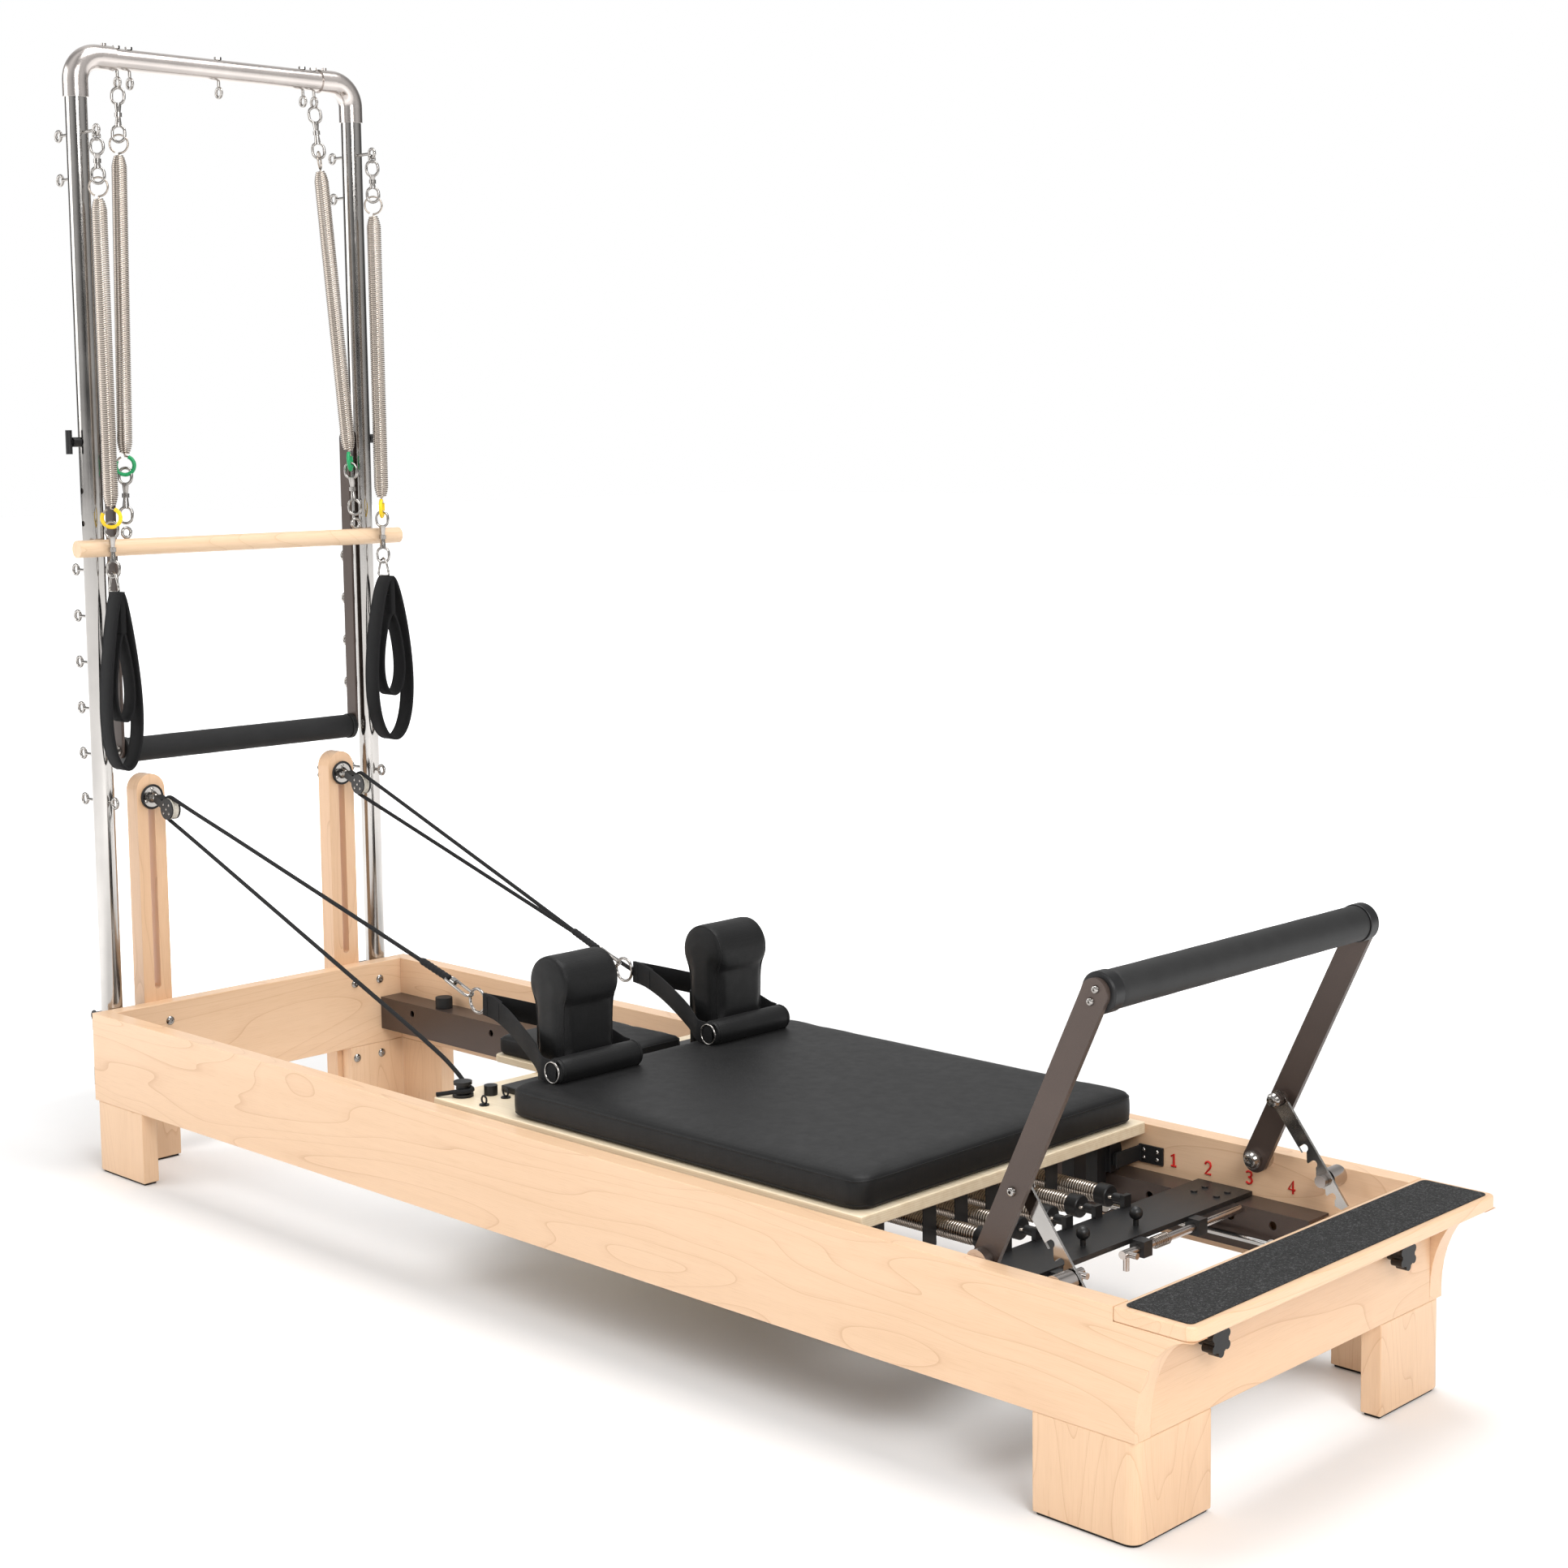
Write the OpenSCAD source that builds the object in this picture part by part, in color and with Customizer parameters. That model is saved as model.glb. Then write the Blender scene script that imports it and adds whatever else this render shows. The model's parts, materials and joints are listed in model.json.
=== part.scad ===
/* [Frame] */
// Length of the wooden frame, head face to foot face
frame_l = 2400; // [2300:10:2500]
// Width of the wooden frame over its side rails
frame_w = 720; // [700:5:760]
// Height of the rail tops above the floor
rail_top = 300; // [295:1:320]
// Height of the rails' bottom edge above the floor
rail_bot = 135; // [120:1:140]
// Thickness of the maple boards
board = 32; // [28:1:34]
// Length of each leg board
leg_l = 160; // [140:5:180]
// How far the standing platform passes the foot face
overhang = 84; // [70:2:90]

/* [Carriage] */
// Length of the carriage deck
deck_l = 935; // [900:5:950]
// Distance from the head face to the deck's foot edge
deck_foot = 1915; // [1905:1:1920]
// Thickness of the carriage pad
pad_t = 48; // [40:1:52]
// Length of the carriage pad
pad_l = 762; // [740:2:765]
// Height of the shoulder rests above the pad
rest_h = 190; // [160:5:200]

/* [Footbar] */
// Distance of the footbar's pivot from the head face
bar_pivot_x = 2123; // [2120:1:2126]
// Angle of the footbar arms above the floor
bar_angle = 64.7; // [64:0.1:66]
// Distance from the pivot to the roller's axis
bar_reach = 417; // [380:1:430]
// Radius of the foam roller
roller_r = 27; // [22:1:30]

/* [Tower] */
// Height of the top tube's axis
tower_z = 2060; // [2040:5:2100]
// Distance of each upright's axis from the middle plane
upright_y = 305; // [303:1:308]
// Outer radius of the tower tube
tube_r = 20; // [18:1:20]
// Height of the push-through bar's pivot
push_z = 1360; // [1350:1:1370]
// Height of the roll-down bar
roll_z = 1165; // [1160:1:1175]

/* [Pulleys] */
// Height of the pulley carriers on their posts
carrier_z = 692; // [600:1:692]
// Height of the riser posts
post_top = 735; // [730:1:760]

/* [Hidden] */
$fn = 48;

half_w = frame_w / 2;
inner_y = half_w - board;
foot_x = frame_l + overhang;
eye_reach = 66;
eye_r = 9;
eye_wire = 3;
upright_x = -22;
x_mid = (foot_x + upright_x - eye_reach - eye_r - eye_wire) / 2;
pad_gap = 0.5;
platform_t = 19;
platform_x = 2366;
platform_z = rail_top - platform_t;
foot_h = 4;

track_y = 276;
track_z = 163;
track_top = 228;
track_t = 4;
track_end = 2235;
hole_z = 208;

deck_z = 287;
deck_top = 306;
deck_head = deck_foot - deck_l;
deck_y = 320;
pad_top = deck_top + pad_t;
pad_foot = deck_foot - 3;
pad_head = pad_foot - pad_l;
wheel_r = 28;
axle_r = 5;
axle_z = track_top + wheel_r;
wheel_x = [1040, 1850];
rest_x = pad_head + 5;
rest_y = 168;
rest_w = 115;
rest_r = 46;
roll_r = 21;
spring_z = 246;
spring_ys = [-136, -68, 0, 68, 136];
spring_r = 15;
spring_wall = 2.5;

arm_t = 8;
arm_w = 40;
arm_y = 305;
pivot_z = 291;
bar_dir = [cos(bar_angle), sin(bar_angle)];
strut_m = [bar_pivot_x + 112 * bar_dir[0], pivot_z + 112 * bar_dir[1]];
strut_n = [2250, 288];
strut_y = 289;
strut_t = 4;
strut_v = strut_n - strut_m;
strut_len = norm(strut_v);
strut_a = atan2(strut_v[1], strut_v[0]);
strut_pitch = 26;

bend_r = 45;
push_bar_z = 782;
push_y = 264;
push_t = 6;
roll_x = 18;
roll_y = 259;
roll_bar_r = 16;
hang_y = 218;
arm_spring_x = upright_x + eye_reach;
arm_spring_z = 1920;

post_y = 218;
post_w = 60;
post_d = 36;
sheave_c = [67, 675];
sheave_r = 18;
rope_r = 3.7;
cleat_x = 1012;
cleat_y = 285;

wood = "#f0d0a5";
bronze = "#6e5c55";
black = "#1b1b1c";
steel = "#c9c8c4";

// Moves the model so that the middle of its length is at x = 0
module place() { translate([-x_mid, 0, 0]) children(); }
// Draws its children on the near side (s = -1) or the far side (s = 1)
module side(s) { mirror([0, s < 0 ? 1 : 0, 0]) children(); }
module both() {
    side(-1) children();
    side(1) children();
}
// A box from its lowest corner to its highest corner
module block(a, b) { translate(a) cube(b - a); }
// A cylinder along Y
module rod_y(x, z, r, y0, y1) { translate([x, y1, z]) rotate([90, 0, 0]) cylinder(r = r, h = y1 - y0); }
// A cylinder along X
module rod_x(y, z, r, x0, x1) { translate([x0, y, z]) rotate([0, 90, 0]) cylinder(r = r, h = x1 - x0); }
// A cylinder between two points
module rod(a, b, r) {
    v = b - a;
    translate(a)
        rotate([0, acos(v[2] / norm(v)), atan2(v[1], v[0])])
            cylinder(r = r, h = norm(v));
}
// A ring about its own Z axis
module ring(big, wire) { rotate_extrude() translate([big, 0]) circle(r = wire); }
// A rounded rectangle's outline
function rounded(x0, y0, x1, y1, r, n = 6) = [
    for (c = [[x1 - r, y1 - r, 0], [x0 + r, y1 - r, 90], [x0 + r, y0 + r, 180], [x1 - r, y0 + r, 270]])
        for (i = [0:n]) [c[0] + r * cos(c[2] + 90 * i / n), c[1] + r * sin(c[2] + 90 * i / n)]];
// A six-lobed clamping knob about its own Z axis
module star_knob(r, h) {
    cylinder(r = r * 0.74, h = h);
    for (i = [0:5])
        rotate(60 * i) translate([r * 0.72, 0, 0]) cylinder(r = r * 0.28, h = h);
}

/* ---- wooden frame ---- */
rail_curve = [for (t = [0:9:90]) [foot_x - overhang * cos(t), 150 + (platform_z - 150) * sin(t)]];
module side_rails() {
    color(wood) both() translate([0, half_w, 0]) rotate([90, 0, 0])
        linear_extrude(board)
            polygon(concat([[0, rail_bot], [frame_l, rail_bot]], rail_curve,
                [[platform_x, platform_z], [platform_x, rail_top], [0, rail_top]]));
}
module head_end_rail() {
    color(wood) block([0, -inner_y, rail_bot], [board, inner_y, rail_top]);
}
module foot_end_rail() {
    color(wood) block([frame_l - board, -inner_y, rail_bot], [frame_l, inner_y, platform_z]);
}
// The plan of a corner leg, whose outer corner is at the origin and rounded
module leg_plan(cut) {
    r = 18;
    polygon(concat([for (t = [180:15:270]) [r + (r - cut) * cos(t), r + (r - cut) * sin(t)]],
        [[leg_l - cut, cut], [leg_l - cut, board - cut], [board - cut, board - cut],
        [board - cut, leg_l - cut], [cut, leg_l - cut]]));
}
module corner(end, s) {
    translate([end * frame_l, s * half_w, 0])
        mirror([end, 0, 0]) mirror([0, s > 0 ? 1 : 0, 0]) children();
}
module legs() {
    color(wood) for (end = [0, 1], s = [-1, 1])
        corner(end, s) translate([0, 0, foot_h]) linear_extrude(rail_bot - foot_h) leg_plan(0);
}
module foot_pads() {
    color(black) for (end = [0, 1], s = [-1, 1])
        corner(end, s) linear_extrude(foot_h) leg_plan(4);
}
module standing_platform() {
    color(wood) translate([0, 0, platform_z]) linear_extrude(platform_t)
        polygon(concat([for (t = [270:15:360]) [foot_x - 14 + 14 * cos(t), -half_w + 14 + 14 * sin(t)]],
            [for (t = [0:15:90]) [foot_x - 14 + 14 * cos(t), half_w - 14 + 14 * sin(t)]],
            [[platform_x, half_w], [platform_x, -half_w]]));
}
module platform_grip() {
    color(black) translate([0, 0, rail_top]) linear_extrude(1.5)
        polygon(rounded(platform_x + 9, -half_w + 10, foot_x - 9, half_w - 10, 9));
}
module platform_knob(s) {
    color(black) side(s) translate([frame_l, 221, 234]) rotate([0, 90, 0]) {
        translate([0, 0, 0.3]) cylinder(r = 11, h = 12);
        translate([0, 0, 12]) star_knob(21, 17);
    }
}
module tracks() {
    color(bronze) both() difference() {
        block([board + 1, track_y, track_z], [track_end, inner_y, track_top]);
        block([board, track_y + track_t, track_z + track_t], [track_end + 1, inner_y + 1, track_top - track_t]);
        for (x = [136, 386, 1955, 2028, 2101, 2174]) rod_y(x, hole_z, 6.5, track_y - 1, track_y + track_t + 1);
    }
}
// Button heads on the inner faces of the end rails and legs
module frame_bolts() {
    color(steel) both() for (y = [214, 275], z = [112, 265]) {
        translate([board, y, z]) rotate([0, 90, 0]) cylinder(r1 = 8.5, r2 = 5.5, h = 4.5);
        translate([frame_l - board, y, z > 200 ? 245 : z]) rotate([0, -90, 0]) cylinder(r1 = 8.5, r2 = 5.5, h = 4.5);
    }
}
module track_stops() {
    color(black) both() {
        translate([210, 300, track_top]) cylinder(r = 17, h = 22);
        block([1899, inner_y - 4, 240], [1944, inner_y, 268]);
        block([1899, 264, 242], [1903, inner_y - 3, 266]);
        block([1893, 266, 244], [1899.5, 284, 264]);
    }
}
module guide_rods() {
    color(steel) both() {
        rod_y(1888, 186, 11, 252, track_y);
        rod_y(2190, 186, 11, 252, track_y);
        rod_x(258, 186, 5, 1890, 2188);
    }
}
module footbar_pivots() {
    color(steel) both() {
        rod_y(bar_pivot_x, pivot_z, 18, arm_y + arm_t + 0.5, inner_y);
        rod_y(bar_pivot_x, pivot_z, 8, arm_y - 4, arm_y + arm_t + 1);
        rod_y(bar_pivot_x, pivot_z, 14, arm_y - 8, arm_y - 0.5);
        rod_y(strut_n[0], strut_n[1], 15, strut_y + strut_t + 3, inner_y);
        rod_y(strut_n[0], strut_n[1], 5, strut_y - 2, strut_y + strut_t + 4);
        rod_y(strut_n[0], strut_n[1], 9, strut_y - 9, strut_y - 0.6);
    }
}

/* ---- tower ---- */
module tower_uprights() {
    color(steel) both() difference() {
        translate([upright_x, upright_y, 120]) cylinder(r = tube_r, h = tower_z - bend_r - 120);
        translate([upright_x, upright_y, 119]) cylinder(r = tube_r - 2.5, h = tower_z);
        for (z = [push_z, push_z - 90, push_z - 150])
            rod_y(upright_x, z, 5.3, upright_y - 30, upright_y + 30);
    }
}
module tower_elbows() {
    elbow_r = tube_r + 3;
    color(steel) both() translate([upright_x, 0, 0]) {
        translate([0, upright_y - bend_r, tower_z - bend_r]) rotate([0, 90, 0]) rotate([0, 0, 90])
            rotate_extrude(angle = 90) translate([bend_r, 0]) circle(r = elbow_r);
        difference() {
            union() {
                translate([0, upright_y, tower_z - bend_r - 30]) cylinder(r = elbow_r, h = 30);
                rod_y(0, tower_z, elbow_r, upright_y - bend_r - 32, upright_y - bend_r);
            }
            translate([0, upright_y, tower_z - bend_r - 31]) cylinder(r = tube_r, h = 31);
            rod_y(0, tower_z, tube_r, upright_y - bend_r - 33, upright_y - bend_r);
        }
        translate([0, upright_y - bend_r - 16, tower_z + elbow_r - 1]) cylinder(r = 5, h = 5);
    }
}
module top_tube() {
    end_y = upright_y - bend_r;
    color(steel) difference() {
        rod_y(upright_x, tower_z, tube_r, -end_y, end_y);
        rod_y(upright_x, tower_z, tube_r - 2.5, -end_y - 1, end_y + 1);
    }
}
// An eyebolt that stands out of a tube along its own Z axis, with its nut on the tube's other side
module eyebolt(reach, nut) {
    translate([0, 0, tube_r + 0.02]) cylinder(r = eye_wire, h = reach - eye_r - tube_r - 0.1);
    translate([0, 0, reach]) rotate([90, 0, 0]) ring(eye_r, eye_wire);
    if (nut) translate([0, 0, -tube_r - 5]) cylinder(r = 7, h = 4.98, $fn = 6);
}
eye_zs = [for (i = [0:5]) 690 + 86.5 * i];
module tower_eyebolts() {
    color(steel) {
        both() translate([upright_x, upright_y, 0]) {
            for (z = concat(eye_zs, [1840, arm_spring_z]))
                translate([0, 0, z]) rotate([0, -90, 0]) eyebolt(eye_reach, false);
            for (z = [eye_zs[0], eye_zs[1], eye_zs[2]])
                translate([0, 0, z]) rotate([0, 90, 0]) eyebolt(40, false);
            translate([0, 0, arm_spring_z]) rotate([0, 90, 0]) eyebolt(eye_reach, false);
        }
        for (y = [-hang_y, -hang_y + 26, 0, hang_y - 26, hang_y])
            translate([upright_x, y, tower_z]) rotate([180, 0, 0]) eyebolt(42, true);
    }
}
module tower_brackets() {
    color(black) both() difference() {
        union() {
            for (z = [150, 255]) block([upright_x - 27, upright_y - 27, z], [0, upright_y + 27, z + 34]);
        }
        translate([upright_x, upright_y, 100]) cylinder(r = tube_r, h = 300);
    }
    color(steel) both() translate([upright_x - 27, upright_y, 272]) rotate([0, -90, 0]) {
        cylinder(r = 5, h = 26);
        translate([0, 0, 38]) rotate([90, 0, 0]) ring(9, 2);
        cylinder(r = 2, h = 29);
    }
}
module riser_posts() {
    r = post_w / 2;
    color(wood) both() translate([0, post_y, 0]) rotate([0, -90, 0]) linear_extrude(post_d)
        difference() {
            union() {
                translate([65, -r]) square([post_top - 65 - r, post_w]);
                translate([post_top - r, 0]) circle(r = r);
            }
            translate([330, -7]) square([carrier_z - 330, 14]);
            translate([330, 0]) circle(r = 7);
            translate([carrier_z, 0]) circle(r = 7);
        }
}
module tee_pins() {
    color(black) both() {
        rod_y(upright_x, push_z, 5, push_y - 6, upright_y + 40);
        rod_y(upright_x, push_z, 9, upright_y + tube_r + 0.3, upright_y + 36);
        rod([upright_x, upright_y + 42, push_z - 22], [upright_x, upright_y + 42, push_z + 22], 6);
    }
}

/* ---- pulleys ---- */
module pulley_carrier(s) {
    side(s) translate([0, post_y, carrier_z]) {
        color(steel) {
            translate([0.3, 0, 0]) rotate([0, 90, 0]) cylinder(r = 22, h = 5);
            translate([5, 0, 0]) rotate([0, 90, 0]) cylinder(r1 = 12, r2 = 8, h = 10);
            translate([15, 0, 0]) sphere(r = 8);
            translate([-post_d - 12, 0, 0]) rotate([0, 90, 0]) cylinder(r = 5, h = post_d + 14);
        }
    }
}
module riser_knob(s) {
    color(black) side(s) translate([-post_d - 0.4, post_y, carrier_z]) rotate([0, -90, 0])
        difference() {
            star_knob(21, 18);
            translate([0, 0, -1]) cylinder(r = 5.05, h = 14);
        }
}
module pulley_block(s) {
    a = atan2(carrier_z - sheave_c[1], sheave_c[0] - 24);
    color(steel) side(s) translate([0, post_y, 0]) {
        difference() {
            union() {
                for (y = [-9.5, 6.5]) rod_y(sheave_c[0], sheave_c[1], 20, y, y + 3);
                translate([24, 0, carrier_z]) rotate([0, a, 0]) block([1, -9, -7], [34, 9, 7]);
            }
            rod_y(sheave_c[0], sheave_c[1], sheave_r + 9, -6.5, 6.5);
        }
        rod_y(sheave_c[0], sheave_c[1], 4, -6.6, 6.6);
    }
}
module sheave(s) {
    color("#d8d4c8") side(s) translate([sheave_c[0], post_y, sheave_c[1]]) rotate([90, 0, 0])
        difference() {
            cylinder(r = sheave_r + 2, h = 12, center = true);
            cylinder(r = 4.05, h = 13, center = true);
            rotate_extrude() translate([sheave_r + 4, 0]) circle(r = 4.6);
        }
}
// Points of a tube's ring in the plane across the direction d
function ring_at(p, d, r, n) =
    let (v = d / norm(d), w = cross([0, 1, 1], v), a = w / norm(w), b = cross(v, a))
    [for (i = [0:n - 1]) p + r * (a * cos(360 * i / n) + b * sin(360 * i / n))];
// A tube that follows a list of points
module tube_along(path, r, n = 10) {
    last = len(path) - 1;
    points = [for (i = [0:last])
        each ring_at(path[i], path[min(i + 1, last)] - path[max(i - 1, 0)], r, n)];
    faces = concat([[for (i = [0:n - 1]) i]], [[for (i = [0:n - 1]) last * n + n - 1 - i]],
        [for (k = [0:last - 1], i = [0:n - 1])
            [k * n + i, (k + 1) * n + i, (k + 1) * n + (i + 1) % n, k * n + (i + 1) % n]]);
    polyhedron(points = points, faces = faces, convexity = 6);
}
// The rope runs from the sewn sleeve, over the sheave and down to the cleat
wrap_r = sheave_r + 4;
wrap = [for (t = [72:18:252])
    [sheave_c[0] + wrap_r * cos(t), post_y, sheave_c[1] + wrap_r * sin(t)]];
rope_route = concat([[832, 166, 452], [800, 168, 462], [640, 179, 514], [450, 192, 575], [260, 205, 636],
    [150, 213, 671], [100, 216, 687]], wrap,
    [[120, 221, 634], [250, 228, 590], [450, 239, 522], [650, 250, 454], [850, 261, 386], [940, 266, 353],
    [980, 268, 333], [998, 268, 320], [1012, 269, 317], [1024, 275, 317], [1028, 285, 317],
    [1024, 296, 317], [1012, 301, 316], [1000, 306, 313], [990, 312, 311], [984, 317, 310]]);
module ropes() {
    color(black) both() tube_along(rope_route, rope_r);
}

/* ---- carriage ---- */
module carriage_deck() {
    color("#ead9b4") block([deck_head, -deck_y, deck_z], [deck_foot, deck_y, deck_top]);
}
module carriage_pad() {
    color(black) translate([0, 0, deck_top]) linear_extrude(pad_t)
        polygon(rounded(pad_head, -deck_y + 2, pad_foot, deck_y - 2, 34));
}
module roller_blocks() {
    color(black) both() for (x = wheel_x) {
        block([x - 42, 262, 234], [x + 42, 286, deck_z]);
        block([x - 34, 240, 200], [x + 34, 262, deck_z]);
        rod_y(x, axle_z, axle_r, 286, 314);
    }
    color(black) block([1392, -176, 234], [1416, 176, deck_z]);
    color(black) for (y = [-170, -102, -34, 34, 102, 170])
        block([1904, y - 14, 226], [1906, y + 14, deck_z]);
}
module wheel_pair(x) {
    color("#2c2c2e") both() difference() {
        rod_y(x, axle_z, wheel_r - 0.3, 288, 312);
        rod_y(x, axle_z, axle_r + 0.05, 287, 313);
    }
}
head_x = [872, 1120];
module headrest_board() {
    color("#ead9b4") translate([0, 0, deck_top + pad_gap]) linear_extrude(13)
        polygon(rounded(head_x[0], -109, head_x[1], 109, 12));
}
module headrest_pad() {
    color(black) translate([0, 0, deck_top + pad_gap + 13]) linear_extrude(32)
        polygon(rounded(head_x[0], -109, head_x[1], 109, 14));
}
// The pear-shaped side view of a shoulder rest
module rest_outline() {
    top_c = pad_top + rest_h - rest_r;
    polygon(concat([[-36, pad_top + pad_gap], [36, pad_top + pad_gap], [34, pad_top + 40]],
        [for (t = [-40:10:220]) [rest_r * cos(t), top_c + rest_r * sin(t)]],
        [[-34, pad_top + 40]]));
}
module shoulder_rest(s) {
    color(black) translate([rest_x, s * rest_y + rest_w / 2, 0]) rotate([90, 0, 0])
        linear_extrude(rest_w) rest_outline();
}
module shoulder_plates() {
    color(black) for (y = [-rest_y, rest_y]) translate([0, y, 0]) {
        block([rest_x - 46, -42, deck_top], [rest_x - 36, 42, 425]);
    }
    color(black) both() block([1036, 122, deck_top], [rest_x - 46, 226, deck_top + 11]);
}
module cleats() {
    color(black) both() {
        translate([cleat_x, cleat_y, deck_top]) cylinder(r = 17, h = 5);
        translate([cleat_x, cleat_y, deck_top]) cylinder(r = 11, h = 20);
        translate([cleat_x, cleat_y, deck_top + 20]) cylinder(r = 15, h = 5);
        translate([cleat_x + 26, cleat_y - 36, deck_top]) cylinder(r = 11, h = 16);
    }
    color(steel) both() for (p = [[1082, 298], [1072, 246]]) translate([p[0], p[1], deck_top]) {
        cylinder(r = 8, h = 2);
        translate([0, 0, 9]) rotate([90, 0, 0]) ring(6, 1.6);
    }
}
module grip_rolls() {
    for (y = [-rest_y, rest_y]) translate([rest_x + 59, y - 95, pad_top + pad_gap + roll_r])
        rotate([-90, 0, 0]) {
            color(black) difference() {
                cylinder(r = roll_r, h = 170);
                translate([0, 0, -1]) cylinder(r = 8, h = 172);
            }
            color(steel) translate([0, 0, -0.6]) difference() {
                cylinder(r = 16, h = 0.6);
                translate([0, 0, -1]) cylinder(r = 12, h = 3);
            }
        }
}
// Snap hook and ring between the rope's sleeve and the hand strap
module strap_hardware() {
    color(steel) for (s = [-1, 1]) {
        rod([834, s * 166, 451], [882, s * 165, 433], 3.5);
        translate([903, s * 164, 425]) rotate([90, 0, 0]) ring(20, 2.5);
    }
}
module straps() {
    color(black) for (y = [-rest_y, rest_y]) translate([0, y, 0]) {
        hull() {
            block([928, -1.5, 405], [930, 1.5, 441]);
            block([1096, -62, 386], [1098, -59, 422]);
        }
        hull() {
            block([1098, -62, 386], [1100, -59, 422]);
            block([1188, -99, 360], [1190, -96.2, 392]);
        }
        block([1190, -99, 360], [1232, -96.2, 392]);
    }
}
module carriage_springs() {
    color(steel) for (y = spring_ys) {
        difference() {
            rod_x(y, spring_z, spring_r, 1440, 1975);
            rod_x(y, spring_z, spring_r - spring_wall, 1442, 1973);
        }
        rod_x(y, spring_z, 5, 1416.3, 1440);
        rod_x(y, spring_z, 5, 1975, 1990);
    }
}

/* ---- spring bar ---- */
bar_x = [2012, 2108];
latch_x = 2118;
latch_z = 222;
module spring_bar() {
    color(black) difference() {
        union() {
            block([bar_x[0], -322, track_top + 0.5], [bar_x[1], 322, track_top + 8]);
            for (y = spring_ys) {
                block([bar_x[0] - 1, y - 8, track_top + 4], [bar_x[0] + 7, y + 8, spring_z + 8]);
                rod_x(y, spring_z, 7, bar_x[0] - 17, bar_x[0] + 3);
            }
            for (y = [-232, -148, 36, 168]) block([bar_x[1] - 4, y - 10, 211], [latch_x + 11, y + 10, 234]);
        }
        rod_y(latch_x, latch_z, 6.06, -400, 400);
    }
    color(black) for (y = [-46, 76]) translate([bar_x[1] - 30, y, track_top + 8]) {
        cylinder(r = 4, h = 12);
        translate([0, 0, 18]) sphere(r = 10);
    }
    color(steel) both() for (x = [2046, 2066, 2086], y = [262, 290])
        if (x != 2066) translate([x, y, track_top + 8]) cylinder(r = 5, h = 2.5);
}
module latch(s, y0, grip_y) {
    color(steel) {
        rod_y(latch_x, latch_z, 6, s > 0 ? y0 : -track_y + 1, s > 0 ? track_y - 1 : y0);
        translate([latch_x, grip_y, latch_z - 24]) cylinder(r = 4.5, h = 24);
        translate([latch_x + 5, grip_y, latch_z]) rotate([0, 90, 0]) cylinder(r = 4.5, h = 14);
    }
}

/* ---- footbar ---- */
module footbar_arms() {
    end_x = bar_pivot_x + bar_reach * bar_dir[0];
    end_z = pivot_z + bar_reach * bar_dir[1];
    color(bronze) both() difference() {
        union() {
            rod_y(bar_pivot_x, pivot_z, arm_w / 2, arm_y, arm_y + arm_t);
            rod_y(end_x, end_z, arm_w / 2, arm_y, arm_y + arm_t);
            translate([bar_pivot_x, arm_y, pivot_z]) rotate([0, -bar_angle, 0])
                block([0, 0.1, 0.4 - arm_w / 2], [bar_reach, arm_t - 0.1, arm_w / 2 - 0.4]);
        }
        rod_y(bar_pivot_x, pivot_z, 8.05, arm_y - 1, arm_y + arm_t + 1);
    }
    color(steel) both() {
        rod_y(strut_m[0], strut_m[1], 4, strut_y - 3, arm_y + 1);
        rod_y(strut_m[0], strut_m[1], 9, strut_y + strut_t + 0.3, arm_y + 1);
        rod_y(strut_m[0], strut_m[1], 9, strut_y - 8, strut_y - 0.3);
        rod_y(strut_m[0], strut_m[1], 6, arm_y + arm_t - 2, arm_y + arm_t + 3);
    }
}
module footbar_roller() {
    end_x = bar_pivot_x + bar_reach * bar_dir[0];
    end_z = pivot_z + bar_reach * bar_dir[1];
    color("#3e4040") rod_y(end_x, end_z, roller_r, -arm_y, arm_y);
}
// The notched plate that props the bar, along its own X axis from the upper bolt
module strut_outline() {
    difference() {
        polygon(concat([for (t = [90:15:270]) [12 * cos(t), 2 + 12 * sin(t)]],
            [[strut_len + 34, -8], [strut_len + 48, 2], [strut_len + 48, 14]]));
        circle(r = 4.25);
        for (k = [-2:1]) translate([strut_len + strut_pitch * k, 0]) {
            circle(r = 5.4);
            polygon([[-5.4, 0], [5.4, 0], [18, -9], [-5.4, -9]]);
        }
    }
}
module strut(s) {
    color(steel) side(s) translate([strut_m[0], strut_y + strut_t, strut_m[1]])
        rotate([0, -strut_a, 0]) rotate([90, 0, 0]) linear_extrude(strut_t) strut_outline();
}

/* ---- tower bars and springs ---- */
module push_bar_arms() {
    color(bronze) both() difference() {
        union() {
            rod_y(upright_x, push_z, 15, push_y, push_y + push_t);
            rod_y(upright_x, push_bar_z, 15, push_y, push_y + push_t);
            block([upright_x - 15, push_y, push_bar_z], [upright_x + 15, push_y + push_t, push_z]);
        }
        rod_y(upright_x, push_z, 5.05, push_y - 1, push_y + push_t + 1);
    }
}
module push_bar_roller() {
    color(black) rod_y(upright_x, push_bar_z, 25, -push_y, push_y);
}
module roll_bar() {
    color(wood) rod_y(roll_x, roll_z, roll_bar_r, -363, 363);
    color(steel) for (y = [-roll_y, roll_y])
        translate([roll_x, y, roll_z + 27]) rotate([0, 90, 0]) ring(eye_r, eye_wire);
}
spring_top = [upright_x, hang_y, tower_z - 42 - 14];
spring_low = [roll_x, roll_y, roll_z + 41];
function along(t) = spring_top + (spring_low - spring_top) * t;
module roll_springs() {
    color(steel) both() {
        rod(along(0), along(0.15), 4);
        difference() {
            rod(along(0.15), along(0.84), spring_r);
            rod(along(0.152), along(0.838), spring_r - spring_wall);
        }
        rod(along(0.84), along(1), 4);
    }
}
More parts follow.
